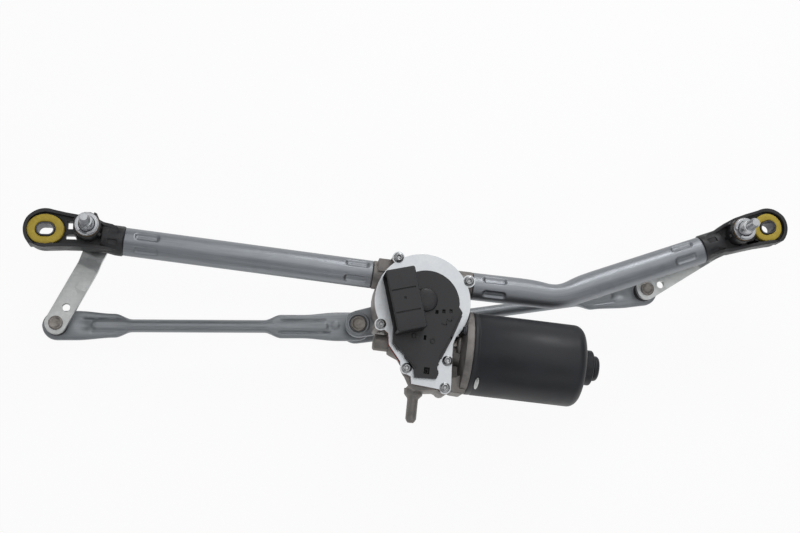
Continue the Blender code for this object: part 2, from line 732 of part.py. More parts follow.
def arm_shape(length, bend):
    """A flat strip of sheet steel with round ends, bent aside at one point in plan and down by its joggle after it."""
    first = bend.normalized()
    second = (Vector((length, 0.0, 0.0)) - bend).normalized()
    middle = (first + second).normalized()
    stations = []
    for step in range(7):
        angle = math.radians(4.0 + 86.0 * step / 6)
        stations.append((first * (-ARM_INNER_HALF * math.cos(angle)), first, ARM_INNER_HALF * math.sin(angle), 0.0))
    stations.append((bend, middle, ARM_BEND_HALF, 0.0))
    for after, drop in ((ARM_JOGGLE_START, 0.0), (ARM_JOGGLE_START + ARM_JOGGLE_LENGTH, -ARM_JOGGLE)):
        stations.append((bend + second * after, second, ARM_BEND_HALF, drop))
    for step in range(7):
        angle = math.radians(87.0 * step / 6)
        centre = Vector((length, 0.0, 0.0)) + second * (ARM_OUTER_HALF * math.sin(angle))
        stations.append((centre, second, ARM_OUTER_HALF * math.cos(angle), -ARM_JOGGLE))
    rings = []
    for centre, direction, half, drop in stations:
        side = Vector((-direction.y, direction.x, 0.0)) * half
        top = Vector((0.0, 0.0, ARM_INNER_TOP + drop))
        low = Vector((0.0, 0.0, ARM_INNER_TOP + drop - ARM_THICKNESS))
        rings.append([centre + side + top, centre - side + top, centre - side + low, centre + side + low])
    return loft(rings)


def arm_outer_bottom():
    return ARM_INNER_TOP - ARM_JOGGLE - ARM_THICKNESS


def outer_ball_height():
    return arm_outer_bottom() - GAP - STUD_DROP


def ball_arc(height, neck, steps=6, upper=True, lower=True):
    """Half of a ball's outline, from the neck above it down to the neck or the pole below it."""
    start = math.degrees(math.asin(neck / BALL_RADIUS)) if upper else 0.0
    end = 180.0 - math.degrees(math.asin(neck / BALL_RADIUS)) if lower else 180.0
    points = []
    for step in range(steps + 1):
        angle = math.radians(start + (end - start) * step / steps)
        points.append((BALL_RADIUS * math.sin(angle), height + BALL_RADIUS * math.cos(angle)))
    return points


def build_pivot(side, place, length, bend, gauge_at, materials):
    steel, zinc, dark = materials
    make_piece(f"{side}_wiper_shaft", wiper_shaft_shape(), steel, place)
    make_piece(f"{side}_retaining_clip", clip_shape(), steel, place)
    arm = make_piece(f"{side}_pivot_arm", arm_shape(length, bend), zinc, place)
    cut(arm, f"{side}_arm_shaft_hole", disc(SHAFT_RIVET_RADIUS + GAP, ARM_INNER_TOP - 0.02, ARM_INNER_TOP + 0.02), place)
    stud_hole = disc(RIVET_SHANK_RADIUS + GAP, arm_outer_bottom() - 0.02, arm_outer_bottom() + 0.02)
    cut(arm, f"{side}_arm_stud_hole", placed(stud_hole, Matrix.Translation((length, 0, 0))), place)
    gauge_hole = disc(ARM_HOLE_RADIUS, arm_outer_bottom() - 0.02, arm_outer_bottom() + 0.02, SMALL_STEPS)
    cut(arm, f"{side}_arm_gauge_hole", placed(gauge_hole, Matrix.Translation((length + gauge_at[0], gauge_at[1], 0))), place)
    arm_top = arm_outer_bottom() + ARM_THICKNESS
    rivet = turned([
        (0.0, arm_outer_bottom() + GAP), (RIVET_SHANK_RADIUS, arm_outer_bottom() + GAP),
        (RIVET_SHANK_RADIUS, arm_top + GAP), (RIVET_RADIUS, arm_top + GAP),
        (RIVET_RADIUS, arm_top + GAP + RIVET_HEIGHT * 0.6), (RIVET_RADIUS - 0.0012, arm_top + GAP + RIVET_HEIGHT),
        (0.0, arm_top + GAP + RIVET_HEIGHT),
    ], SMALL_STEPS, closed=False)
    make_piece(f"{side}_arm_rivet", placed(rivet, Matrix.Translation((length, 0, 0))), dark, place)


# Rods between the motor crank and the arms

def rod_ring(along, half_width, half_height, pinch, roundness, height):
    points = []
    for step in range(ROD_SIDES):
        angle = 2.0 * math.pi * step / ROD_SIDES
        across = half_width * math.cos(angle)
        deep = pinch + (half_height - pinch) * math.cos(angle) ** 2
        rise = math.copysign(abs(math.sin(angle)) ** roundness, math.sin(angle))
        points.append(Vector((along, across, height + deep * rise)))
    return points


def rod_shape(length, inner_height, outer_height):
    """A tube whose ends are pressed flat, wide and dished, with a straight slope between them."""
    end = (ROD_END_HALF_WIDTH, ROD_END_HALF_HEIGHT, ROD_PINCH_HALF_HEIGHT, 0.45)
    middle = (ROD_RADIUS, ROD_RADIUS, ROD_RADIUS, 1.0)
    slope_start = ROD_INNER_END_LENGTH * 0.55
    slope_end = length - ROD_OUTER_END_LENGTH * 0.55

    def height_at(along):
        share = min(1.0, max(0.0, (along - slope_start) / (slope_end - slope_start)))
        return inner_height + (outer_height - inner_height) * share

    stations = []
    for step in range(4):
        angle = math.radians(8.0 + 82.0 * step / 3)
        stations.append((-ROD_END_HALF_WIDTH * math.cos(angle), ROD_END_HALF_WIDTH * math.sin(angle), *end[1:]))
    taper_in = ROD_INNER_END_LENGTH
    taper_out = length - ROD_OUTER_END_LENGTH
    stations.append((slope_start, *end))
    for along, first, second in ((taper_in, end, middle), (taper_out - ROD_TAPER_LENGTH, middle, end)):
        for step in range(4):
            share = step / 3
            eased = share * share * (3.0 - 2.0 * share)
            mix = [a + (b - a) * eased for a, b in zip(first, second)]
            stations.append((along + ROD_TAPER_LENGTH * share, *mix))
    stations.append((slope_end, *end))
    for step in range(4):
        angle = math.radians(90.0 - 82.0 * step / 3)
        stations.append((length + ROD_END_HALF_WIDTH * math.cos(angle), ROD_END_HALF_WIDTH * math.sin(angle), *end[1:]))
    return loft([rod_ring(*station, height_at(station[0])) for station in stations])


def socket_profile(height, open_below):
    """A plastic socket snapped in a rod's eye: open above for the stud, and open or closed below."""
    cavity = BALL_RADIUS + BALL_GAP
    mouth = NECK_RADIUS + 2.0 * BALL_GAP
    top = SOCKET_HALF_HEIGHT
    start = math.degrees(math.acos(top / cavity))
    end = 180.0 - start if open_below else 180.0
    inside = []
    for step in range(6):
        angle = math.radians(start + (end - start) * step / 5)
        inside.append((max(0.0, cavity * math.sin(angle)), height + cavity * math.cos(angle)))
    inside[0] = (mouth, height + top)
    if open_below:
        inside[-1] = (mouth, height - top)
    lip_top = height - ROD_END_HALF_HEIGHT - GAP
    bottom = height - (top if open_below else cavity + SOCKET_FLOOR)
    outside = [
        (SOCKET_RADIUS - 0.0010, bottom), (SOCKET_RADIUS - 0.0010, lip_top - SOCKET_LIP_HEIGHT),
        (SOCKET_LIP_RADIUS, lip_top - SOCKET_LIP_HEIGHT), (SOCKET_LIP_RADIUS, lip_top),
        (SOCKET_RADIUS, lip_top), (SOCKET_RADIUS, height + ROD_END_HALF_HEIGHT), (SOCKET_TOP_RADIUS, height + top),
    ]
    if not open_below:
        outside.insert(0, (0.0, bottom))
    return list(reversed(inside)) + list(reversed(outside))


def socket_shape(height, open_below, along):
    shape = turned(socket_profile(height, open_below), ROUND_STEPS, closed=open_below)
    return placed(shape, Matrix.Translation((along, 0, 0)))


def outer_stud_shape(along):
    top = arm_outer_bottom() - GAP
    shape = turned([
        (0.0, top), (STUD_FLANGE_RADIUS, top), (STUD_FLANGE_RADIUS, top - STUD_FLANGE_THICKNESS),
        (NECK_RADIUS, top - STUD_FLANGE_THICKNESS), *ball_arc(outer_ball_height(), NECK_RADIUS, lower=False),
    ], SMALL_STEPS, closed=False)
    return placed(shape, Matrix.Translation((along, 0, 0)))


def build_rod(side, place, length, inner_height, open_below, materials):
    rod_steel, plastic, steel = materials
    outer_height = outer_ball_height()
    rod = make_piece(f"{side}_rod", rod_shape(length, inner_height, outer_height), rod_steel, place)
    for end, along in (("inner", 0.0), ("outer", length)):
        hole = disc(SOCKET_RADIUS + GAP, -0.1, 0.0)
        cut(rod, f"{side}_rod_{end}_eye", placed(hole, Matrix.Translation((along, 0, 0))), place)
    make_piece(f"{side}_rod_inner_socket", socket_shape(inner_height, open_below, 0.0), plastic, place)
    make_piece(f"{side}_rod_outer_socket", socket_shape(outer_height, False, length), plastic, place)
    make_piece(f"{side}_ball_stud", outer_stud_shape(length), steel, place)


# Motor crank: the worm wheel, its output shaft, the crank arm with its nut, and the double ball stud

def gear_wheel_shape():
    """A wheel whose teeth lean with the worm's lead."""
    pitch_radius = TOOTH_COUNT * GEAR_MODULE / 2.0
    tip = pitch_radius + TOOTH_HEIGHT_OUT
    root = pitch_radius - TOOTH_HEIGHT_IN
    lean = math.tan(PRESSURE_ANGLE)
    tip_half = (TOOTH_WIDTH / 2.0 - TOOTH_HEIGHT_OUT * lean) / tip
    root_half = (TOOTH_WIDTH / 2.0 + TOOTH_HEIGHT_IN * lean) / root
    lead = GEAR_MODULE * math.pi / (2.0 * math.pi * WORM_PITCH_RADIUS)
    twist = WHEEL_THICKNESS * lead / pitch_radius
    middle = WORM_HEIGHT
    rings = []
    for share in (-0.5, 0.5):
        points = []
        for tooth in range(TOOTH_COUNT):
            at = 2.0 * math.pi * tooth / TOOTH_COUNT + twist * share - math.pi / 2.0
            for radius, offset in ((root, -root_half), (tip, -tip_half), (tip, tip_half), (root, root_half)):
                points.append(polar(radius, at + offset, middle + WHEEL_THICKNESS * share))
        rings.append(points)
    return loft(rings)


def worm_shape():
    """A single thread wound round the worm's core, with both of its ends sunk into the core."""
    pitch = GEAR_MODULE * math.pi
    tip = WORM_PITCH_RADIUS + THREAD_HEIGHT_OUT
    root = WORM_PITCH_RADIUS - THREAD_HEIGHT_IN
    lean = math.tan(PRESSURE_ANGLE)
    tip_half = THREAD_WIDTH / 2.0 - THREAD_HEIGHT_OUT * lean
    root_half = THREAD_WIDTH / 2.0 + THREAD_HEIGHT_IN * lean
    steps = WORM_TURNS * WORM_STEPS
    rings = []
    for step in range(steps + 1):
        turn = step / WORM_STEPS - WORM_TURNS / 2.0
        fade = min(1.0, step / (WORM_STEPS * 0.4), (steps - step) / (WORM_STEPS * 0.4))
        outer = root - 0.0004 + (tip - root + 0.0004) * fade
        # the wheel's tooth stands at turn zero, so the thread is half a pitch away from it
        along = pitch * (turn + 0.5)
        angle = 2.0 * math.pi * turn
        rings.append([Vector((radius * math.cos(angle), radius * math.sin(angle), along + offset))
                      for radius, offset in ((root - 0.0010, -root_half), (outer, -tip_half),
                                             (outer, tip_half), (root - 0.0010, root_half))])
    return loft(rings)


def output_shaft_shape():
    crank_bottom = CRANK_TOP - CRANK_THICKNESS
    top = WORM_HEIGHT + WHEEL_THICKNESS / 2.0
    return turned([
        (0.0, crank_bottom - NUT_HEIGHT - 0.0012), (0.0040, crank_bottom - NUT_HEIGHT - 0.0012),
        (OUTPUT_FOOT_RADIUS, crank_bottom - NUT_HEIGHT - 0.0004), (OUTPUT_FOOT_RADIUS, CRANK_TOP + GAP),
        (OUTPUT_RADIUS, CRANK_TOP + GAP),
        (OUTPUT_RADIUS, top - 0.0010), (OUTPUT_RADIUS - 0.0010, top), (0.0, top),
    ], ROUND_STEPS, closed=False)


def build_crank(place, gear_place, materials):
    plastic, steel, zinc, dark = materials
    wheel = make_piece("worm_wheel", gear_wheel_shape(), plastic, gear_place)
    recess_outer = TOOTH_COUNT * GEAR_MODULE / 2.0 - 0.0052
    middle = WORM_HEIGHT
    for name, low, high in (("upper", middle + WHEEL_WEB / 2.0, middle + 0.02),
                            ("lower", middle - 0.02, middle - WHEEL_WEB / 2.0)):
        cut(wheel, f"wheel_{name}_recess", ring(recess_outer, WHEEL_HUB_RADIUS, low, high), gear_place)
    cut(wheel, "wheel_bore", disc(OUTPUT_RADIUS + GAP, middle - 0.02, middle + 0.02), gear_place)
    make_piece("output_shaft", output_shaft_shape(), steel, place)
    crank_bottom = CRANK_TOP - CRANK_THICKNESS
    outline = tangent_outline([((0.0, 0.0), CRANK_HUB_RADIUS), ((CRANK_RADIUS, 0.0), CRANK_END_RADIUS)])
    shaft_hole = circle_points((0.0, 0.0), OUTPUT_FOOT_RADIUS + GAP, 0.0, 360.0, ROUND_STEPS)[:-1]
    stud_hole = circle_points((CRANK_RADIUS, 0.0), RIVET_SHANK_RADIUS + GAP, 0.0, 360.0, SMALL_STEPS)[:-1]
    crank = plate(outline, crank_bottom, CRANK_TOP, [shaft_hole, stud_hole])
    make_piece("motor_crank_arm", crank, zinc, place)
    corner = NUT_ACROSS_FLATS / math.sqrt(3.0)
    hexagon = [(corner * math.cos(math.radians(60 * i)), corner * math.sin(math.radians(60 * i))) for i in range(6)]
    nut = plate(hexagon, crank_bottom - GAP - NUT_HEIGHT, crank_bottom - GAP, [shaft_hole])
    make_piece("crank_nut", nut, steel, place)
    top = CRANK_TOP + GAP
    flange = crank_bottom - GAP
    stud = turned([
        (0.0, top + RIVET_HEIGHT), (RIVET_RADIUS - 0.0004, top + RIVET_HEIGHT),
        (RIVET_RADIUS + 0.0008, top + RIVET_HEIGHT * 0.6), (RIVET_RADIUS + 0.0008, top),
        (RIVET_SHANK_RADIUS, top), (RIVET_SHANK_RADIUS, flange),
        (STUD_FLANGE_RADIUS, flange), (STUD_FLANGE_RADIUS, flange - STUD_FLANGE_THICKNESS),
        (NECK_RADIUS, flange - STUD_FLANGE_THICKNESS),
        *ball_arc(UPPER_BALL, NECK_RADIUS), *ball_arc(LOWER_BALL, NECK_RADIUS, lower=False),
    ], SMALL_STEPS, closed=False)
    make_piece("double_ball_stud", placed(stud, Matrix.Translation((CRANK_RADIUS, 0, 0))), dark, place)


# Armature: the worm on its shaft, the core, its windings and the commutator

def build_armature(place, materials):
    steel, iron, copper = materials
    root = WORM_PITCH_RADIUS - THREAD_HEIGHT_IN
    half_worm = (WORM_TURNS + 1.6) * GEAR_MODULE * math.pi / 2.0
    shaft = make_piece("armature_shaft", turned([
        (0.0, WORM_TAIL_END), (WORM_TAIL_RADIUS - 0.0008, WORM_TAIL_END), (WORM_TAIL_RADIUS, WORM_TAIL_END + 0.0010),
        (WORM_TAIL_RADIUS, -half_worm - 0.0020),
        (root, -half_worm), (root, half_worm + GEAR_MODULE * math.pi), (ARMATURE_SHAFT_RADIUS, half_worm + 0.0060),
        (ARMATURE_SHAFT_RADIUS, ARMATURE_END - 0.0010), (ARMATURE_SHAFT_RADIUS - 0.0010, ARMATURE_END),
        (0.0, ARMATURE_END),
    ], WORM_STEPS, closed=False), steel, place)
    add(shaft, "worm_thread", worm_shape(), place)
    bore = ARMATURE_SHAFT_RADIUS + GAP
    core_radius = magnet_outer_radius() - MAGNET_THICKNESS - AIR_GAP
    core = make_piece("armature_core", ring(core_radius, bore, CORE_START, CORE_START + CORE_LENGTH, LARGE_STEPS), iron, place)
    bars = []
    for slot in range(CORE_SLOTS):
        turn = turn_about_z(2.0 * math.pi * slot / CORE_SLOTS + math.pi / CORE_SLOTS)
        gap = box((SLOT_BOTTOM, -SLOT_HALF_WIDTH, CORE_START - 0.01),
                  (core_radius + 0.005, SLOT_HALF_WIDTH, CORE_START + CORE_LENGTH + 0.01))
        cut(core, f"core_slot_{slot}", placed(gap, turn), place)
        bars.append(turn)
    low = CORE_START - GAP - WINDING_LENGTH
    high = CORE_START + CORE_LENGTH + GAP
    inner = SLOT_BOTTOM - 0.0040
    outer = core_radius - 0.0022
    winding = make_piece("armature_winding", ring(outer, inner, low, low + WINDING_LENGTH), copper, place)
    add(winding, "winding_far_end", ring(outer, inner, high, high + WINDING_LENGTH), place)
    for slot, turn in enumerate(bars):
        bar = box((SLOT_BOTTOM + GAP, -SLOT_HALF_WIDTH + GAP, low + 0.002),
                  (outer - 0.001, SLOT_HALF_WIDTH - GAP, high + WINDING_LENGTH - 0.002))
        add(winding, f"winding_bar_{slot}", placed(bar, turn), place)
    commutator = ring(COMMUTATOR_RADIUS, bore, COMMUTATOR_START, COMMUTATOR_START + COMMUTATOR_LENGTH)
    make_piece("commutator", commutator, copper, place)


# Gear housing

def chamber_radius():
    return TOOTH_COUNT * GEAR_MODULE / 2.0 + TOOTH_HEIGHT_OUT + CHAMBER_CLEARANCE


def bowl_radius():
    return chamber_radius() + BOWL_WALL


def cover_screws():
    """The screws on the bowl's rim, at an angle and standing out from it, and then those over the worm case."""
    rim = []
    for angle, out in BOWL_SCREWS:
        at = polar(bowl_radius() + out, math.radians(angle))
        rim.append((BOWL_CENTRE[0] + at.x, BOWL_CENTRE[1] + at.y))
    return [*rim, *CASE_SCREWS]


def crossing(centre, radius, other, other_radius):
    """The angles at which two circles cross, in degrees, seen from the first centre and from the other."""
    dx = other[0] - centre[0]
    dy = other[1] - centre[1]
    apart = math.hypot(dx, dy)
    toward = math.atan2(dy, dx)
    spread = math.acos((radius ** 2 + apart ** 2 - other_radius ** 2) / (2.0 * radius * apart))
    back = math.acos((other_radius ** 2 + apart ** 2 - radius ** 2) / (2.0 * other_radius * apart))
    first = [math.degrees(toward - spread), math.degrees(toward + spread)]
    second = [math.degrees(toward + math.pi + back), math.degrees(toward + math.pi - back)]
    return first, second


def bowl_outline():
    """The round side of the gear housing from its right, over the top, to its left, with three screw lobes."""
    points = []
    at = BOWL_START
    screws = cover_screws()
    lobes = (screws[1], screws[0], screws[2])
    for lobe in lobes:
        on_bowl, on_lobe = crossing(BOWL_CENTRE, bowl_radius(), lobe, LOBE_RADIUS)
        reach = on_bowl[0] % 360.0
        points += circle_points(BOWL_CENTRE, bowl_radius(), at, reach, max(3, round((reach - at) / BOWL_STEP)))[:-1]
        start = on_lobe[0]
        end = -52.0 + 360.0 if lobe is lobes[-1] else on_lobe[1] + 360.0
        while end - start > 360.0:
            end -= 360.0
        points += circle_points(lobe, LOBE_RADIUS, start, end, 4)
        at = on_bowl[1]
    return points


def cover_outline():
    lobe, _, corner = CASE_SCREWS
    return bowl_outline() + [
        *COVER_LEFT_EDGE, *circle_points(lobe, LOBE_RADIUS, 165.0, 275.0, 4),
        *COVER_LOWER_EDGE, *circle_points(corner, LOBE_RADIUS, 240.0, 345.0, 4), *COVER_RIGHT_EDGE,
    ]


def body_outline():
    lobe, _, corner = CASE_SCREWS
    return bowl_outline() + [
        *BODY_LEFT_EDGE, *circle_points(lobe, LOBE_RADIUS, 165.0, 240.0, 3),
        *BODY_LOWER_EDGE, *circle_points(corner, LOBE_RADIUS, 215.0, 325.0, 4), *BODY_RIGHT_EDGE,
    ]


def chamber_outline(grow=0.0):
    return circle_points((0.0, 0.0), chamber_radius() + grow, -50.0, 230.0, 18) + [
        (-0.0150 - grow, -0.0400), (0.0010 - grow, -0.0475), (0.0025 - grow, -0.0615 - grow),
        (0.0190 + grow, -0.0620 - grow), (0.0190 + grow, -0.0380),
    ]


def rib_shape(points, thickness, angle):
    """An upright rib: an outline of distance from the axis and height, given a thickness and turned about Z."""
    flat = plate(points, -thickness / 2.0, thickness / 2.0)
    upright = Matrix.Rotation(math.pi / 2.0, 4, "X")
    return placed(flat, turn_about_z(math.radians(angle)) @ upright)


def worm_distance():
    return TOOTH_COUNT * GEAR_MODULE / 2.0 + WORM_PITCH_RADIUS


def motor_frame(gear_place):
    """Along the motor: Z runs down its shaft, X points at the wheel, Y points up."""
    turn = Matrix(((0, 0, 1, 0), (1, 0, 0, -worm_distance()), (0, 1, 0, WORM_HEIGHT), (0, 0, 0, 1)))
    return make_empty("motor_axis", turn, gear_place)


def build_gear_housing(gear_place, motor_place, root, left_mouth, right_mouth, casting):
    housing = make_piece("gear_housing", plate(body_outline(), HOUSING_BOTTOM, HOUSING_TOP), casting, gear_place)
    case = turned([(0.0, WORM_CASE_START), (TAIL_CASE_RADIUS - 0.001, WORM_CASE_START),
                   (TAIL_CASE_RADIUS, WORM_CASE_START + 0.001), (TAIL_CASE_RADIUS, WORM_CASE_SHOULDER),
                   (WORM_CASE_RADIUS - 0.001, WORM_CASE_SHOULDER), (WORM_CASE_RADIUS, WORM_CASE_SHOULDER + 0.002),
                   (WORM_CASE_RADIUS, FLANGE_START + 0.002), (0.0, FLANGE_START + 0.002)], ROUND_STEPS, closed=False)
    add(housing, "worm_case", case, motor_place)
    flange = turned([(0.0, FLANGE_START), (FLANGE_RADIUS - 0.001, FLANGE_START), (FLANGE_RADIUS, FLANGE_START + 0.001),
                     (FLANGE_RADIUS, FLANGE_END), (0.0, FLANGE_END)], LARGE_STEPS, closed=False)
    add(housing, "motor_flange", flange, motor_place)
    for count, (low, high) in enumerate(FLANGE_WEBS):
        add(housing, f"flange_web_{count}", box(low, high), gear_place)
    relief = disc(bowl_radius() + 2.0 * GAP, HOUSING_TOP, HOUSING_TOP + FLANGE_RADIUS, RELIEF_STEPS)
    cut(housing, "cover_relief", placed(relief, Matrix.Translation((*BOWL_CENTRE, 0.0))), gear_place)
    boss = turned([(0.0, BOSS_BOTTOM), (BOSS_RADIUS, BOSS_BOTTOM), (BOSS_RADIUS + 0.0015, HOUSING_BOTTOM + 0.001),
                   (0.0, HOUSING_BOTTOM + 0.001)], ROUND_STEPS, closed=False)
    add(housing, "output_boss", boss, gear_place)
    rib = [(BOSS_RADIUS - 0.002, BOSS_BOTTOM + 0.004), (bowl_radius() - 0.0055, HOUSING_BOTTOM - 0.0035),
           (bowl_radius() - 0.0055, HOUSING_BOTTOM + 0.001), (BOSS_RADIUS - 0.002, HOUSING_BOTTOM + 0.001)]
    for count, angle in enumerate(UNDERSIDE_RIB_ANGLES):
        add(housing, f"underside_rib_{count}", rib_shape(rib, UNDERSIDE_RIB_WIDTH, angle), gear_place)
    for side, mouth, into_tube, crimps_at in (("left", *left_mouth, LEFT_CASTING_CRIMP_CENTRE),
                                              ("right", *right_mouth, CRIMP_CENTRE)):
        collar = collar_shape(mouth, into_tube, CASTING_COLLAR_RADIUS, CASTING_COLLAR_LENGTH)
        add(housing, f"{side}_casting_collar", collar, root)
        add(housing, f"{side}_casting_spigot", spigot_shape(mouth, into_tube, crimps_at), root)
    add(housing, "collar_pad", box(*COLLAR_PAD), gear_place)
    peg = turned([(0.0, 0.0), (PEG_RADIUS + 0.0028, 0.0), (PEG_RADIUS + 0.0024, 0.0046), (PEG_RADIUS, 0.0080),
                  (PEG_RADIUS, PEG_START - PEG_END - 0.0030), (PEG_RADIUS - 0.0020, PEG_START - PEG_END),
                  (0.0, PEG_START - PEG_END)], SMALL_STEPS, closed=False)
    outwards = Matrix.Translation((PEG_AT, PEG_START, PEG_HEIGHT)) @ Matrix.Rotation(math.pi / 2.0, 4, "X")
    add(housing, "mounting_peg", placed(peg, outwards), gear_place)
    cut(housing, "wheel_chamber", plate(chamber_outline(), CHAMBER_FLOOR, HOUSING_TOP + 0.01), gear_place)
    add(housing, "wheel_seat", disc(WHEEL_HUB_RADIUS, CHAMBER_FLOOR - 0.001, wheel_bottom() - GAP), gear_place)
    bore = disc(WORM_BORE_RADIUS, WORM_CASE_SHOULDER + CASE_END_WALL, FLANGE_END + 0.01)
    cut(housing, "worm_bore", bore, motor_place)
    tail_bore = disc(TAIL_BORE_RADIUS, WORM_CASE_START + CASE_END_WALL, WORM_CASE_SHOULDER + 2.0 * CASE_END_WALL)
    cut(housing, "worm_tail_bore", tail_bore, motor_place)
    shaft_bore = disc(OUTPUT_RADIUS + OUTPUT_BUSH_WALL + GAP, BOSS_BOTTOM - 0.01, HOUSING_TOP)
    cut(housing, "output_bore", shaft_bore, gear_place)
    for count, at in enumerate(cover_screws()):
        hole = disc(SCREW_HOLE_RADIUS, screw_head_seat() - SCREW_LENGTH - 0.0005, HOUSING_TOP + 0.01, SCREW_STEPS)
        cut(housing, f"cover_screw_hole_{count}", placed(hole, Matrix.Translation((*at, 0.0))), gear_place)
    for count, angle in enumerate(MOTOR_SCREW_ANGLES):
        hole = disc(SCREW_HOLE_RADIUS, FLANGE_START - 0.01, FLANGE_END + 0.01, SCREW_STEPS)
        at = Matrix.Translation(polar(MOTOR_SCREW_CIRCLE, math.radians(angle)))
        cut(housing, f"motor_screw_hole_{count}", placed(hole, at), motor_place)


def wheel_bottom():
    return WORM_HEIGHT - WHEEL_THICKNESS / 2.0


def gasket_bottom():
    return HOUSING_TOP + GAP


def cover_bottom():
    return gasket_bottom() + GASKET_THICKNESS + GAP


def cover_top():
    return cover_bottom() + COVER_THICKNESS


def screw_head_seat():
    return cover_top() + GAP


def screw_shape(shank_length):
    """A pan head with a round socket, its seat at height zero and its shank pointing down."""
    return turned([
        (0.0, -shank_length), (SCREW_SHANK_RADIUS, -shank_length), (SCREW_SHANK_RADIUS, 0.0),
        (SCREW_HEAD_RADIUS, 0.0), (SCREW_HEAD_RADIUS, SCREW_HEAD_HEIGHT * 0.55),
        (SCREW_HEAD_RADIUS - 0.0010, SCREW_HEAD_HEIGHT), (SCREW_SOCKET_RADIUS, SCREW_HEAD_HEIGHT),
        (SCREW_SOCKET_RADIUS - 0.0003, SCREW_HEAD_HEIGHT - 0.0014), (0.0, SCREW_HEAD_HEIGHT - 0.0014),
    ], SCREW_STEPS, closed=False)


def build_gear_details(gear_place, motor_place, materials):
    red, aluminium, steel, bronze = materials
    holes = [circle_points(at, SCREW_HOLE_RADIUS, 0.0, 360.0, SCREW_STEPS)[:-1] for at in cover_screws()]
    gasket = plate(cover_outline(), gasket_bottom(), gasket_bottom() + GASKET_THICKNESS, [chamber_outline(0.0006), *holes])
    make_piece("cover_gasket", gasket, red, gear_place)
    cover = plate(cover_outline(), cover_bottom(), cover_top(), [*holes, cover_window()])
    make_piece("gear_cover", cover, aluminium, gear_place)
    for count, at in enumerate(cover_screws()):
        place = Matrix.Translation((*at, screw_head_seat()))
        make_piece(f"cover_screw_{count + 1}", placed(screw_shape(SCREW_LENGTH), place), steel, gear_place)
    for count, angle in enumerate(MOTOR_SCREW_ANGLES):
        at = polar(MOTOR_SCREW_CIRCLE, math.radians(angle), FLANGE_START - GAP)
        place = Matrix.Translation(at) @ Matrix.Rotation(math.pi, 4, "X")
        make_piece(f"motor_screw_{count + 1}", placed(screw_shape(MOTOR_SCREW_LENGTH), place), steel, motor_place)
    bush = ring(OUTPUT_RADIUS + OUTPUT_BUSH_WALL, OUTPUT_RADIUS + RUNNING_GAP, BOSS_BOTTOM, wheel_bottom() - GAP)
    make_piece("output_bush", bush, bronze, gear_place)
    tail = ring(TAIL_BORE_RADIUS - GAP, WORM_TAIL_RADIUS + RUNNING_GAP, WORM_TAIL_END, WORM_TAIL_END + TAIL_BUSH_LENGTH)
    make_piece("worm_tail_bush", tail, bronze, motor_place)
    drive = ring(WORM_BORE_RADIUS - GAP, ARMATURE_SHAFT_RADIUS + RUNNING_GAP, DRIVE_BUSH_START,
                 DRIVE_BUSH_START + DRIVE_BUSH_LENGTH)
    make_piece("worm_drive_bush", drive, bronze, motor_place)


def cover_window():
    return [(-0.0190, -0.0080), (-0.0080, -0.0080), (-0.0080, 0.0080), (-0.0190, 0.0080)]


# Connector cover

def cap_outline():
    return [
        (0.0333, -0.0054), (0.0300, -0.0010),
        *circle_points(CAP_CENTRE, CAP_RADIUS, 4.0, 200.0, 12),
        (-0.0165, -0.0368), (-0.0087, -0.0428), (0.0004, -0.0529), (0.0010, -0.0596), (0.0178, -0.0590),
        (0.0190, -0.0550), *circle_points((0.0205, -0.0505), 0.0030, 230.0, 130.0, 5), (0.0182, -0.0470),
    ]


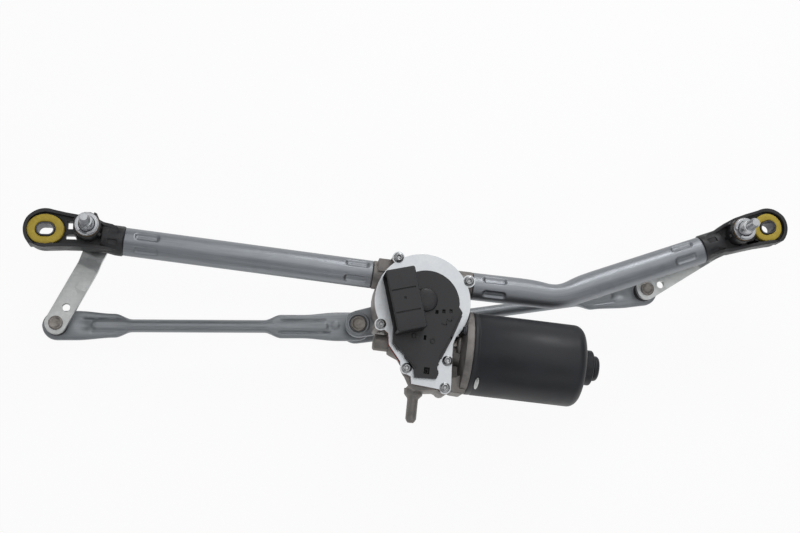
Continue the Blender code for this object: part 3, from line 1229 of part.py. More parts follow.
def build_connector(gear_place, black, brass):
    bottom = cover_top() + GAP
    top = bottom + CAP_THICKNESS
    cap = make_piece("connector_cover", plate(cap_outline(), bottom, top), black, gear_place)
    hub = turned([(0.0, bottom + 0.001), (HUB_RADIUS, bottom + 0.001), (HUB_RADIUS, top + HUB_HEIGHT - 0.0015),
                  (HUB_RADIUS - 0.0015, top + HUB_HEIGHT), (0.0, top + HUB_HEIGHT)], ROUND_STEPS, closed=False)
    add(cap, "cover_hub", placed(hub, Matrix.Translation((*HUB_CENTRE, 0.0))), gear_place)
    aim = standing_at(Vector((*PLUG_CENTRE, 0.0)), PLUG_TURN)
    block = plate(rounded_box_outline(PLUG_HALF_WIDTH, PLUG_HALF_LENGTH, PLUG_CORNER), bottom + 0.0006, PLUG_TOP)
    add(cap, "plug_block", placed(block, aim), gear_place)
    low = bottom + 0.0006 + PLUG_WALL
    high = PLUG_TOP - PLUG_WALL
    inside = box((-PLUG_HALF_WIDTH - 0.005, -PLUG_HALF_LENGTH + PLUG_WALL, low),
                 (-PLUG_HALF_WIDTH + PLUG_DEPTH, PLUG_HALF_LENGTH - PLUG_WALL, high))
    cut(cap, "plug_socket", placed(inside, aim), gear_place)
    for count, along in enumerate((0.0078, -0.0098)):
        groove = box((-PLUG_HALF_WIDTH + 0.002, along - 0.0006, PLUG_TOP - 0.0006),
                     (PLUG_HALF_WIDTH - 0.003, along + 0.0006, PLUG_TOP + 0.005))
        cut(cap, f"plug_groove_{count}", placed(groove, aim), gear_place)
    for count, at in enumerate(((0.0130, -0.0072), (0.0184, -0.0060), (0.0239, -0.0053))):
        hole = box((at[0] - 0.0012, at[1] - 0.0015, top - 0.0020), (at[0] + 0.0012, at[1] + 0.0015, top + 0.01))
        cut(cap, f"cover_square_hole_{count}", hole, gear_place)
    back = -PLUG_HALF_WIDTH + PLUG_DEPTH - GAP
    middle = (low + high) / 2.0
    half_bar = PLUG_HALF_LENGTH - PLUG_WALL - 0.004
    strip = make_piece("connector_terminals", placed(box(
        (back - 0.0012, -half_bar, middle - 0.0020), (back, half_bar, middle + 0.0020)), aim), brass, gear_place)
    for pin in range(PIN_COUNT):
        along = (pin - (PIN_COUNT - 1) / 2.0) * 2.0 * (half_bar - 0.0015) / (PIN_COUNT - 1)
        blade = box((back - PLUG_DEPTH + 0.0045, along - 0.0012, middle - PIN_HALF),
                    (back - 0.0004, along + 0.0012, middle + PIN_HALF))
        add(strip, f"terminal_{pin}", placed(blade, aim), gear_place)


def rounded_box_outline(half_x, half_y, radius):
    points = []
    for sign_x, sign_y, start in ((1, 1, 0.0), (-1, 1, 90.0), (-1, -1, 180.0), (1, -1, 270.0)):
        centre = (sign_x * (half_x - radius), sign_y * (half_y - radius))
        points += circle_points(centre, radius, start, start + 90.0, 3)
    return points


# Motor: can, magnets, brushes and the far bearing

def magnet_outer_radius():
    return CAN_RADIUS - CAN_WALL - GAP


def build_motor(place, materials):
    black, ferrite, phenolic, carbon, bronze = materials
    wall = CAN_WALL
    corner = [(CAN_RADIUS - CAN_CORNER + x, CAN_END - CAN_CORNER + y)
              for x, y in circle_points((0.0, 0.0), CAN_CORNER, 0.0, 90.0, 3)]
    inner_corner = [(CAN_RADIUS - CAN_CORNER + x, CAN_END - CAN_CORNER + y)
                    for x, y in circle_points((0.0, 0.0), CAN_CORNER - wall, 90.0, 0.0, 2)]
    profile = [
        (0.0, END_CAP_END - wall), (END_CAP_RADIUS - wall, END_CAP_END - wall),
        (END_CAP_RADIUS - wall, END_BOSS_END - wall), (END_BOSS_RADIUS - wall, END_BOSS_END - wall),
        (END_BOSS_RADIUS - wall, CAN_END - wall), *inner_corner,
        (CAN_RADIUS - wall, CAN_START), (CAN_RADIUS, CAN_START), *corner,
        (END_BOSS_RADIUS, CAN_END), (END_BOSS_RADIUS, END_BOSS_END - 0.0015), (END_BOSS_RADIUS - 0.0015, END_BOSS_END),
        (END_CAP_RADIUS, END_BOSS_END), (END_CAP_RADIUS, END_CAP_END - 0.0010), (END_CAP_RADIUS - 0.0010, END_CAP_END),
        (0.0, END_CAP_END),
    ]
    make_piece("motor_can", turned(profile, LARGE_STEPS, closed=False), black, place)
    outer = magnet_outer_radius()
    inner = outer - MAGNET_THICKNESS
    spread = math.degrees(MAGNET_HALF_ANGLE)
    outline = circle_points((0.0, 0.0), outer, -spread, spread, 10)
    outline += list(reversed(circle_points((0.0, 0.0), inner, -spread, spread, 10)))
    for count, angle in enumerate((0.0, 180.0)):
        magnet = plate(outline, MAGNET_START, MAGNET_START + MAGNET_LENGTH)
        make_piece(f"magnet_{count + 1}", placed(magnet, turn_about_z(math.radians(angle))), ferrite, place)
    low = CAN_START + 0.0010
    high = low + BRUSH_PLATE_THICKNESS
    holes = [circle_points(polar(MOTOR_SCREW_CIRCLE, math.radians(angle)), SCREW_HOLE_RADIUS, 0.0, 360.0, SCREW_STEPS)[:-1]
             for angle in MOTOR_SCREW_ANGLES]
    centre_hole = circle_points((0.0, 0.0), COMMUTATOR_RADIUS + 0.0020, 0.0, 360.0, ROUND_STEPS)[:-1]
    rim = circle_points((0.0, 0.0), outer, 0.0, 360.0, LARGE_STEPS)[:-1]
    brush_plate = make_piece("brush_plate", plate(rim, low, high, [centre_hole, *holes]), phenolic, place)
    bearing = ring(END_BOSS_RADIUS - wall - GAP, ARMATURE_SHAFT_RADIUS + RUNNING_GAP,
                   CAN_END + 0.0004, END_BOSS_END - wall - GAP)
    make_piece("end_bearing", bearing, bronze, place)
    start = COMMUTATOR_RADIUS + GAP
    for count, angle in enumerate(BRUSH_ANGLES):
        turn = turn_about_z(math.radians(angle))
        brush = box((start, -BRUSH_HALF, high + GAP), (start + BRUSH_LENGTH, BRUSH_HALF, high + GAP + 2.0 * BRUSH_HALF))
        make_piece(f"brush_{count + 1}", placed(brush, turn), carbon, place)
        for side in (-1, 1):
            edges = sorted((side * (BRUSH_HALF + GAP), side * (BRUSH_HALF + GAP + 0.0014)))
            guide = box((start + 0.0030, edges[0], high - 0.0005),
                        (start + BRUSH_LENGTH + 0.0020, edges[1], high + 2.0 * BRUSH_HALF))
            add(brush_plate, f"brush_guide_{count}_{side}", placed(guide, turn), place)


# The whole linkage

def stand_on_bench(root):
    """Moves the root so that the part's box is centred on the origin and its lowest point is at height zero."""
    bpy.context.view_layer.update()
    depsgraph = bpy.context.evaluated_depsgraph_get()
    corners = []
    for thing in bpy.data.objects:
        if thing.type == "MESH" and not thing.hide_render:
            solid = thing.evaluated_get(depsgraph)
            corners += [solid.matrix_world @ vertex.co for vertex in solid.data.vertices]
    low = [min(corner[axis] for corner in corners) for axis in range(3)]
    high = [max(corner[axis] for corner in corners) for axis in range(3)]
    root.location = (-(low[0] + high[0]) / 2.0, -(low[1] + high[1]) / 2.0, -low[2])


def main():
    clear_scene()
    galvanised = make_material("galvanised_tube", (0.50, 0.52, 0.54), 0.42, 1.0)
    rod_steel = make_material("rod_steel", (0.36, 0.39, 0.41), 0.45, 1.0)
    zinc = make_material("zinc_plate", (0.66, 0.67, 0.68), 0.35, 1.0)
    bright = make_material("bright_steel", (0.72, 0.72, 0.71), 0.25, 1.0)
    rivet_steel = make_material("rivet_steel", (0.33, 0.31, 0.29), 0.45, 1.0)
    dark_steel = make_material("dark_steel", (0.09, 0.09, 0.10), 0.45, 1.0)
    casting = make_material("cast_aluminium", (0.45, 0.43, 0.40), 0.55, 1.0)
    aluminium = make_material("cover_aluminium", (0.80, 0.81, 0.83), 0.38, 1.0)
    black = make_material("black_plastic", (0.025, 0.025, 0.027), 0.50, 0.0)
    can_paint = make_material("black_can_paint", (0.012, 0.012, 0.014), 0.30, 0.0)
    yellow = make_material("yellow_rubber", (0.42, 0.32, 0.05), 0.60, 0.0)
    red = make_material("red_gasket", (0.35, 0.06, 0.04), 0.60, 0.0)
    bronze = make_material("sintered_bronze", (0.45, 0.30, 0.14), 0.50, 1.0)
    white_plastic = make_material("white_plastic", (0.70, 0.68, 0.60), 0.50, 0.0)
    copper = make_material("copper", (0.70, 0.32, 0.16), 0.35, 1.0)
    iron = make_material("electrical_steel", (0.30, 0.30, 0.31), 0.45, 1.0)
    ferrite = make_material("ferrite", (0.06, 0.06, 0.07), 0.55, 0.0)
    phenolic = make_material("phenolic_board", (0.22, 0.10, 0.04), 0.60, 0.0)
    carbon = make_material("carbon_brush", (0.05, 0.05, 0.05), 0.60, 0.0)
    brass = make_material("brass", (0.75, 0.58, 0.25), 0.30, 1.0)

    root = make_empty("root", Matrix())
    left_route, right_route = build_tubes(root, galvanised)

    left_along = (left_route[-1] - left_route[0]).normalized()
    right_along = (right_route[-1] - right_route[-2]).normalized()
    right_start = (right_route[1] - right_route[0]).normalized()
    left_place = build_pivot_housing(
        "left", LEFT_PIVOT_AT, LEFT_EYE_FROM_PIVOT, LEFT_EYE_HALF, LEFT_RIM_AT_PIVOT, LEFT_GROMMET_HALF, 0.0,
        left_route[0], left_along, LEFT_WINDOWS, black, root)
    right_place = build_pivot_housing(
        "right", RIGHT_PIVOT_AT, RIGHT_EYE_FROM_PIVOT, RIGHT_EYE_HALF, RIGHT_RIM_AT_PIVOT, RIGHT_GROMMET_HALF, RIGHT_EYE_TURN,
        right_route[-1], -right_along, RIGHT_WINDOWS, black, root)
    build_grommet("left", LEFT_EYE_FROM_PIVOT, LEFT_GROMMET_HALF, LEFT_SLOT_HALF, 0.0, left_place, yellow, dark_steel)
    build_grommet("right", RIGHT_EYE_FROM_PIVOT, RIGHT_GROMMET_HALF, RIGHT_SLOT_HALF, RIGHT_EYE_TURN,
                  right_place, yellow, dark_steel)

    gear_place = make_empty("gear_centre", standing_at(SHAFT_AT, MOTOR_TURN), root)
    motor_place = motor_frame(gear_place)
    build_gear_housing(gear_place, motor_place, root, (left_route[-1], -left_along), (right_route[0], right_start), casting)
    build_gear_details(gear_place, motor_place, (red, aluminium, bright, bronze))
    build_connector(gear_place, black, brass)
    build_motor(motor_place, (can_paint, ferrite, phenolic, carbon, bronze))
    build_armature(motor_place, (bright, iron, copper))

    crank_place = make_empty("crank_axis", standing_at(SHAFT_AT, CRANK_PARK), root)
    build_crank(crank_place, gear_place, (white_plastic, bright, rod_steel, rivet_steel))
    pin = SHAFT_AT + polar(CRANK_RADIUS, CRANK_PARK)
    for side, pivot_at, arm_length, arm_park, bend, gauge_at, height, open_below, place in (
        ("left", LEFT_PIVOT_AT, LEFT_ARM_LENGTH, LEFT_ARM_PARK, LEFT_ARM_BEND, LEFT_GAUGE_HOLE, UPPER_BALL, True, left_place),
        ("right", RIGHT_PIVOT_AT, RIGHT_ARM_LENGTH, RIGHT_ARM_PARK, RIGHT_ARM_BEND, RIGHT_GAUGE_HOLE, LOWER_BALL, False,
         right_place),
    ):
        build_pivot_small_parts(side, place, bronze, bright)
        arm_place = make_empty(f"{side}_pivot_axis", standing_at(pivot_at, arm_park), root)
        build_pivot(side, arm_place, arm_length, bend, gauge_at, (bright, zinc, rivet_steel))
        reach = pivot_at + polar(arm_length, arm_park) - pin
        rod_place = make_empty(f"{side}_rod_axis", standing_at(pin, direction_of(reach)), root)
        build_rod(side, rod_place, reach.length, height, open_below, (rod_steel, black, bright))

    stand_on_bench(root)


main()
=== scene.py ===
# %% [markdown]
# # A windscreen wiper linkage, dressed
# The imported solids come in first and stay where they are. Each later step takes one piece of the real
# object, such as a tube, a casting or a rubber ring, and gives it the shape and the finish that the solids
# leave out.

# %% Load the frame
import json
import math

import bmesh
import bpy
from mathutils import Matrix, Vector


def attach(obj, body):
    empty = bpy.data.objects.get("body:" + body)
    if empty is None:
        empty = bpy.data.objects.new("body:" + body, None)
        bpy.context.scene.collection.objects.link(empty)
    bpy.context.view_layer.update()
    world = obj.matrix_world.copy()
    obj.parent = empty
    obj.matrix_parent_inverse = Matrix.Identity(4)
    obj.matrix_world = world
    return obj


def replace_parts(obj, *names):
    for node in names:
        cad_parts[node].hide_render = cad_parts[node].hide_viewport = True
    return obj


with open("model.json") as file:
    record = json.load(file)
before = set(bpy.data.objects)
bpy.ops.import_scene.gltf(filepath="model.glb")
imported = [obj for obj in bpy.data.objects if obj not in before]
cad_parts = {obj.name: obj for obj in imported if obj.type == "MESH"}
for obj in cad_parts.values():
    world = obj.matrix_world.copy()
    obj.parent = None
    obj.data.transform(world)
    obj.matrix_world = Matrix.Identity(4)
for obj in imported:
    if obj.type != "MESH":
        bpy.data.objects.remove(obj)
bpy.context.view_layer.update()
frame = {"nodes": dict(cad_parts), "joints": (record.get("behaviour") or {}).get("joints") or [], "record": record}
nodes = frame["nodes"]

# %% [markdown]
# The three shafts of the linkage are joints of the record, so every measure below starts from one of them.
# A second way would be to type world positions, but then each piece would have to be moved by hand when a
# joint moves.

# %% Places that the pieces start from
joint_at = {joint["name"]: Vector(joint["pos_m"]) for joint in frame["joints"]}
SHAFT_AT = joint_at["crank_turn"]
LEFT_PIVOT = joint_at["left_wiper_turn"]
RIGHT_PIVOT = joint_at["right_wiper_turn"]
CRANK_PIN = joint_at["left_rod_turn"]
MIDDLE_HEIGHT = SHAFT_AT.z
MOTOR_TURN = math.radians(-5.93)
WORM_DISTANCE = 0.0335
WORM_HEIGHT = 0.0070


def stand_at(point, angle=0.0):
    return Matrix.Translation(point) @ Matrix.Rotation(angle, 4, "Z")


gear_place = stand_at(SHAFT_AT, MOTOR_TURN)
motor_place = gear_place @ Matrix((
    (0, 0, 1, 0), (1, 0, 0, -WORM_DISTANCE), (0, 1, 0, WORM_HEIGHT), (0, 0, 0, 1)))
print("gear centre:", [round(x, 4) for x in SHAFT_AT])

# %% [markdown]
# ## Camera, floor and light
# The photograph looks down on the linkage, a little from the left and from below. The camera stands 1.1 m
# away along that line, and the lens follows from the size of a pixel at that distance.

# %% Camera
VIEW_DISTANCE = 1.1
LEAN_LEFT = math.radians(7.0)
LEAN_BELOW = math.radians(11.5)
PIXEL = 0.0008
PICTURE_WIDTH = 800.0
SENSOR_WIDTH = 36.0
LOOK_AT = SHAFT_AT - Vector((0.0135, -0.0323, 0.0))
towards_camera = Vector((-math.tan(LEAN_LEFT), -math.tan(LEAN_BELOW), 1.0)).normalized()
camera_data = bpy.data.cameras.new("camera")
camera_data.sensor_width = SENSOR_WIDTH
camera_data.lens = VIEW_DISTANCE / PIXEL * SENSOR_WIDTH / PICTURE_WIDTH
camera = bpy.data.objects.new("camera", camera_data)
bpy.context.scene.collection.objects.link(camera)
right_hand = Vector((0.0, 1.0, 0.0)).cross(towards_camera).normalized()
up_hand = towards_camera.cross(right_hand)
facing = Matrix((right_hand, up_hand, towards_camera)).transposed().to_4x4()
camera.matrix_world = Matrix.Translation(LOOK_AT + towards_camera * VIEW_DISTANCE) @ facing
bpy.context.scene.camera = camera
print("lens in mm:", round(camera_data.lens, 2))

# %% [markdown]
# The floor is one pale plane under the part. A share of plain white, for the camera's own rays and for what
# mirrors it, lifts it to the white of a studio sheet. The rest is a matt surface that takes the soft
# shadow.

# %% Floor and world
FLOOR_SIZE = 12.0
FLOOR_HEIGHT = -0.002
GLOW_SHARE = 0.93
WORLD_COLOUR = (0.78, 0.80, 0.83)
WORLD_STRENGTH = 0.30


def feed(tree, node, values):
    """Give each named input of a node a link or a value. A colour is given as three numbers."""
    for label, value in values.items():
        socket = node.inputs[label]
        if isinstance(value, bpy.types.NodeSocket):
            tree.links.new(value, socket)
        else:
            socket.default_value = (*value, 1.0) if socket.type == "RGBA" else value


def add_node(tree, kind, values, **settings):
    node = tree.nodes.new(f"ShaderNode{kind}")
    for label, value in settings.items():
        setattr(node, label, value)
    feed(tree, node, values)
    return node


def add_math(tree, operation, first, second):
    return add_node(tree, "Math", {0: first, 1: second}, operation=operation).outputs[0]


floor_shape = bmesh.new()
bmesh.ops.create_grid(floor_shape, x_segments=1, y_segments=1, size=FLOOR_SIZE)
bmesh.ops.translate(floor_shape, verts=floor_shape.verts, vec=(0, 0, FLOOR_HEIGHT))
floor_mesh = bpy.data.meshes.new("floor")
floor_shape.to_mesh(floor_mesh)
floor_shape.free()
floor = bpy.data.objects.new("floor", floor_mesh)
bpy.context.scene.collection.objects.link(floor)

sheet_white = bpy.data.materials.new("studio_sheet")
sheet_white.use_nodes = True
tree = sheet_white.node_tree
matt = tree.nodes["Principled BSDF"]
feed(tree, matt, {"Base Color": (0.86, 0.86, 0.86), "Roughness": 0.9})
path = add_node(tree, "LightPath", {}).outputs
mirrored = add_math(tree, "MAXIMUM", path["Is Glossy Ray"], path["Is Transmission Ray"])
seen = add_math(tree, "MAXIMUM", path["Is Camera Ray"], mirrored)
share = add_math(tree, "MULTIPLY", seen, GLOW_SHARE)
glow = add_node(tree, "Emission", {})
both = add_node(tree, "MixShader", {0: share, 1: matt.outputs[0], 2: glow.outputs[0]})
feed(tree, tree.nodes["Material Output"], {"Surface": both.outputs[0]})
floor_mesh.materials.append(sheet_white)

world = bpy.data.worlds.new("studio")
bpy.context.scene.world = world
world.use_nodes = True
background = world.node_tree.nodes["Background"]
feed(world.node_tree, background, {"Color": WORLD_COLOUR, "Strength": WORLD_STRENGTH})
print("floor at height in mm:", 1000 * FLOOR_HEIGHT)

# %% [markdown]
# Round steel needs something to reflect. A small lamp behind the right tube gives that tube its bright
# band. A wide one straight above lights the flat plates evenly, and two weaker ones open the shadows on the
# near side and the left.

# %% Lamps
def add_lamp(name, place, size, power, aim=(0, 0, 0)):
    data = bpy.data.lights.new(name, "AREA")
    data.shape = "RECTANGLE"
    data.size, data.size_y = size
    data.energy = power
    lamp = bpy.data.objects.new(name, data)
    bpy.context.scene.collection.objects.link(lamp)
    lamp.location = LOOK_AT + Vector(place)
    lamp.rotation_mode = "QUATERNION"
    lamp.rotation_quaternion = (Vector(place) - Vector(aim)).to_track_quat("Z", "Y")
    print(name, "watts:", power)


add_lamp("band_lamp", (0.226, 0.655, 0.490), (0.40, 0.22), 2.2, aim=(0.176, 0.035, 0.070))
add_lamp("sky_lamp", (0.20, 0.30, 1.60), (1.9, 1.20), 7.4)
add_lamp("near_lamp", (0.20, -1.10, 0.90), (1.6, 0.4), 2.4)
add_lamp("left_lamp", (-1.30, 0.10, 0.80), (0.5, 1.0), 1.6)
bpy.context.scene.view_settings.view_transform = "Standard"

# %% [markdown]
# ## Finishes
# Every finish here is one of a few things: cloudy colour, a fine grain, zinc crystals, or the lines that
# rolling and drawing leave. Each is a node group, made once, and each material sets its own scale and
# colours. Colour and roughness that change together read as one worn spot, so they come from the same
# noise.

# %% Node groups
def new_group(name, inputs, outputs):
    group = bpy.data.node_groups.new(name, "ShaderNodeTree")
    for way, sockets in (("INPUT", inputs), ("OUTPUT", outputs)):
        for label, kind in sockets.items():
            group.interface.new_socket(name=label, in_out=way, socket_type=f"NodeSocket{kind}")
    return group, group.nodes.new("NodeGroupInput").outputs, group.nodes.new("NodeGroupOutput")


def add_noise(group, where, scale, detail, rough):
    values = {"Vector": where, "Scale": scale, "Detail": detail, "Roughness": rough}
    return add_node(group, "TexNoise", values).outputs["Fac"]


def add_ramp(group, value, low, high):
    values = {"Value": value, "From Min": low, "From Max": high}
    return add_node(group, "MapRange", values, interpolation_type="SMOOTHSTEP").outputs[0]


def mix_colours(group, share, first, second):
    return add_node(group, "Mix", {0: share, 6: first, 7: second}, data_type="RGBA").outputs[2]


def mix_values(group, share, first, second):
    return add_node(group, "Mix", {0: share, 2: first, 3: second}, data_type="FLOAT").outputs[0]


cloudy, start, end = new_group("cloudy_colour", {
    "Vector": "Vector", "Scale": "Float", "Colour": "Color", "Second Colour": "Color", "Roughness": "Float",
    "Second Roughness": "Float"}, {"Colour": "Color", "Roughness": "Float"})
clouds = add_ramp(cloudy, add_noise(cloudy, start["Vector"], start["Scale"], 6.0, 0.62), 0.36, 0.66)
feed(cloudy, end, {
    "Colour": mix_colours(cloudy, clouds, start["Colour"], start["Second Colour"]),
    "Roughness": mix_values(cloudy, clouds, start["Roughness"], start["Second Roughness"])})

pebbled, start, end = new_group("pebbled_grain", {
    "Vector": "Vector", "Scale": "Float", "Coarse Scale": "Float"}, {"Height": "Float"})
fine = add_noise(pebbled, start["Vector"], start["Scale"], 3.0, 0.55)
coarse = add_noise(pebbled, start["Vector"], start["Coarse Scale"], 2.0, 0.5)
feed(pebbled, end, {"Height": add_math(pebbled, "ADD", fine, coarse)})

drawn, start, end = new_group("drawn_lines", {
    "Vector": "Vector", "Stretch": "Vector", "Scale": "Float", "Colour": "Color", "Line Colour": "Color"},
    {"Colour": "Color", "Height": "Float"})
stretched = add_node(drawn, "VectorMath", {0: start["Vector"], 1: start["Stretch"]}, operation="MULTIPLY")
lines = add_noise(drawn, stretched.outputs[0], start["Scale"], 4.0, 0.6)
line_share = add_ramp(drawn, lines, 0.42, 0.72)
feed(drawn, end, {
    "Colour": mix_colours(drawn, line_share, start["Colour"], start["Line Colour"]), "Height": lines})

spangled, start, end = new_group("zinc_spangle", {
    "Vector": "Vector", "Scale": "Float", "Colour": "Color", "Flake Colour": "Color"}, {"Colour": "Color"})
cells = add_node(spangled, "TexVoronoi", {"Vector": start["Vector"], "Scale": start["Scale"]})
one_cell = add_node(spangled, "SeparateColor", {0: cells.outputs["Color"]}).outputs[0]
feed(spangled, end, {"Colour": mix_colours(spangled, one_cell, start["Colour"], start["Flake Colour"])})
print("node groups:", [group.name for group in bpy.data.node_groups])

# %% [markdown]
# A material joins the groups to one Principled shader. What is the same all over a surface, such as how
# metallic it is, is typed on the shader itself. What varies comes from the groups, read at the surface's
# place.

# %% Materials
finishes = {}


def cloudy_material(name, colour, second, roughness, patch, attribute=None):
    """A new material's tree, the place its groups read, and its clouds. An attribute follows a bent piece."""
    material = bpy.data.materials.new(name)
    material.use_nodes = True
    finishes[name] = material
    tree = material.node_tree
    if attribute:
        where = add_node(tree, "Attribute", {}, attribute_name=attribute).outputs["Vector"]
    else:
        where = add_node(tree, "TexCoord", {}).outputs["Object"]
    clouds = add_node(tree, "Group", {
        "Vector": where, "Scale": patch, "Colour": colour, "Second Colour": second,
        "Roughness": roughness[0], "Second Roughness": roughness[1]}, node_tree=cloudy)
    return tree, where, clouds.outputs


def shade(tree, metallic, colour, roughness, height, depth):
    bump = add_node(tree, "Bump", {"Height": height, "Distance": depth, "Strength": 1.0})
    feed(tree, tree.nodes["Principled BSDF"], {
        "Metallic": metallic, "Base Color": colour, "Roughness": roughness, "Normal": bump.outputs["Normal"]})


def grained(name, colour, second, roughness, metallic, patch, grain=900.0, coarse=160.0, depth=0.00004):
    """Cloudy colour and roughness with a pebbled grain: castings, moulded plastic, rubber and paint."""
    tree, where, clouds = cloudy_material(name, colour, second, roughness, patch)
    grains = {"Vector": where, "Scale": grain, "Coarse Scale": coarse}
    pebbles = add_node(tree, "Group", grains, node_tree=pebbled)
    shade(tree, metallic, clouds["Colour"], clouds["Roughness"], pebbles.outputs["Height"], depth)


def rolled(name, colour, second, line, roughness, patch=45.0, lines=45.0, stretch=(0.6, 16.0, 16.0),
           depth=0.00001, attribute=None, flakes=0.0, flake=None):
    """Drawn or rolled metal: cloudy colour, with zinc crystals where it has any, under long lines."""
    tree, where, clouds = cloudy_material(name, colour, second, roughness, patch, attribute)
    below = clouds["Colour"]
    if flakes:
        zinc = {"Vector": where, "Scale": flakes, "Colour": below, "Flake Colour": flake}
        below = add_node(tree, "Group", zinc, node_tree=spangled).outputs["Colour"]
    streaks = add_node(tree, "Group", {
        "Vector": where, "Stretch": stretch, "Scale": lines, "Colour": below, "Line Colour": line},
        node_tree=drawn).outputs
    shade(tree, 1.0, streaks["Colour"], clouds["Roughness"], streaks["Height"], depth)


ALL_WAYS = (1.0, 1.0, 1.0)
rolled("galvanised_tube", (0.295, 0.31, 0.33), (0.345, 0.36, 0.38), (0.28, 0.295, 0.315), (0.46, 0.54),
       attribute="along_piece", depth=0.000002, flakes=160.0, flake=(0.33, 0.345, 0.365))
rolled("rod_steel", (0.31, 0.325, 0.34), (0.37, 0.385, 0.40), (0.29, 0.305, 0.32), (0.48, 0.58),
       attribute="along_piece")
rolled("zinc_plate", (0.44, 0.45, 0.45), (0.72, 0.73, 0.72), (0.56, 0.57, 0.56), (0.32, 0.46),
       patch=90.0, flakes=220.0, flake=(0.52, 0.53, 0.52))
rolled("bright_steel", (0.46, 0.47, 0.49), (0.56, 0.57, 0.58), (0.42, 0.43, 0.45), (0.26, 0.36),
       patch=120.0, lines=120.0, stretch=(1.0, 1.0, 4.0), depth=0.000003)
rolled("screw_steel", (0.34, 0.345, 0.35), (0.48, 0.485, 0.49), (0.28, 0.285, 0.29), (0.28, 0.38),
       patch=500.0, lines=300.0, stretch=ALL_WAYS)
rolled("rivet_steel", (0.26, 0.24, 0.22), (0.38, 0.35, 0.32), (0.22, 0.20, 0.18), (0.36, 0.52),
       patch=400.0, lines=300.0, stretch=ALL_WAYS)
rolled("electrical_steel", (0.26, 0.26, 0.27), (0.34, 0.34, 0.35), (0.20, 0.20, 0.21), (0.40, 0.50))
grained("cast_aluminium", (0.20, 0.187, 0.176), (0.32, 0.302, 0.286), (0.50, 0.66), 0.8, 70.0, 1500.0, 240.0,
        depth=0.00009)
grained("cover_aluminium", (0.58, 0.60, 0.62), (0.74, 0.755, 0.77), (0.36, 0.50), 0.95, 80.0, 2200.0, 300.0,
        depth=0.00002)
grained("black_plastic", (0.018, 0.018, 0.020), (0.030, 0.030, 0.032), (0.42, 0.55), 0.0, 90.0, 2600.0, 400.0,
        depth=0.00003)
grained("black_can_paint", (0.011, 0.012, 0.015), (0.016, 0.0175, 0.022), (0.44, 0.54), 0.0, 40.0, 700.0,
        120.0, depth=0.00002)
grained("yellow_rubber", (0.47, 0.34, 0.035), (0.53, 0.40, 0.050), (0.58, 0.70), 0.0, 200.0, 2600.0, 500.0,
        depth=0.00003)
grained("dark_steel", (0.07, 0.07, 0.08), (0.12, 0.12, 0.13), (0.36, 0.52), 1.0, 300.0, 3000.0)
grained("red_gasket", (0.19, 0.034, 0.024), (0.26, 0.052, 0.036), (0.55, 0.65), 0.0, 300.0)
grained("sintered_bronze", (0.20, 0.14, 0.08), (0.27, 0.19, 0.11), (0.40, 0.60), 1.0, 500.0, 4000.0, 900.0)
grained("white_plastic", (0.66, 0.64, 0.56), (0.72, 0.70, 0.63), (0.40, 0.50), 0.0, 150.0)
grained("copper", (0.66, 0.29, 0.14), (0.74, 0.36, 0.19), (0.25, 0.40), 1.0, 300.0, 3000.0)
grained("ferrite", (0.05, 0.05, 0.06), (0.07, 0.07, 0.08), (0.50, 0.60), 0.0, 200.0)
grained("phenolic_board", (0.20, 0.09, 0.035), (0.26, 0.12, 0.05), (0.50, 0.62), 0.0, 200.0)
grained("carbon_brush", (0.04, 0.04, 0.04), (0.06, 0.06, 0.06), (0.45, 0.60), 0.0, 400.0)
grained("brass", (0.70, 0.53, 0.22), (0.78, 0.61, 0.28), (0.20, 0.32), 1.0, 400.0, 3000.0)
print("materials:", len(finishes))

# %% [markdown]
# Each carried-over solid takes the finish of its own slot in the record. Inner parts such as the worm wheel
# and the armature stay exactly so, because their shape is right and the housings hide them.

# %% Dress the solids
slot_of = {part["node"]: part["material_slot"] for part in frame["record"]["subparts"]}
bodies = frame["record"]["behaviour"]["bodies"]
body_of = {node: body for body, members in bodies.items() for node in members}
for node, slot in slot_of.items():
    nodes[node].data.materials.clear()
    nodes[node].data.materials.append(finishes[slot])
print("dressed:", len(slot_of))

# %% [markdown]
# ## Making pieces
# Turned pieces are a profile spun round an axis. Sheet metal and mouldings are outlines, filled and raised.
# Real edges are never sharp: a small bevel on each of them catches the light, and does more for the look
# than any colour. The Bevel modifier leaves the flat faces flat when it hardens their normals.

# %% Helpers for shapes
SAME_PLACE = 1e-6
SAME_PLACE_ON_SOLID = 2e-6
FLAT_ANGLE = math.radians(1.0)
FLAT_ANGLE_ON_SOLID = math.radians(2.0)


def finish_piece(name, shape, node, edge=0.0003, edge_steps=2, finish=None, keep_smooth=35.0):
    """An object on the node's body. Edges over keep_smooth degrees are bevelled, or sharp without a width."""
    bmesh.ops.remove_doubles(shape, verts=shape.verts, dist=SAME_PLACE)
    bmesh.ops.recalc_face_normals(shape, faces=shape.faces)
    mesh = bpy.data.meshes.new(name)
    shape.to_mesh(mesh)
    shape.free()
    mesh.shade_smooth()
    piece = bpy.data.objects.new(name, mesh)
    bpy.context.scene.collection.objects.link(piece)
    mesh.materials.append(finish or finishes[slot_of[node]])
    if edge:
        bevel = piece.modifiers.new("soft_edges", "BEVEL")
        bevel.width = edge
        bevel.segments = edge_steps
        bevel.limit_method = "ANGLE"
        bevel.angle_limit = math.radians(keep_smooth)
        bevel.harden_normals = True
    else:
        mesh.set_sharp_from_angle(angle=math.radians(keep_smooth))
    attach(piece, body_of[node])
    print(f"{name}: {len(mesh.polygons)} faces")
    return piece


def replace_solid(name, shape, node, **looks):
    """A finished piece that is shown instead of the node's solid."""
    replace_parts(finish_piece(name, shape, node, **looks), node)


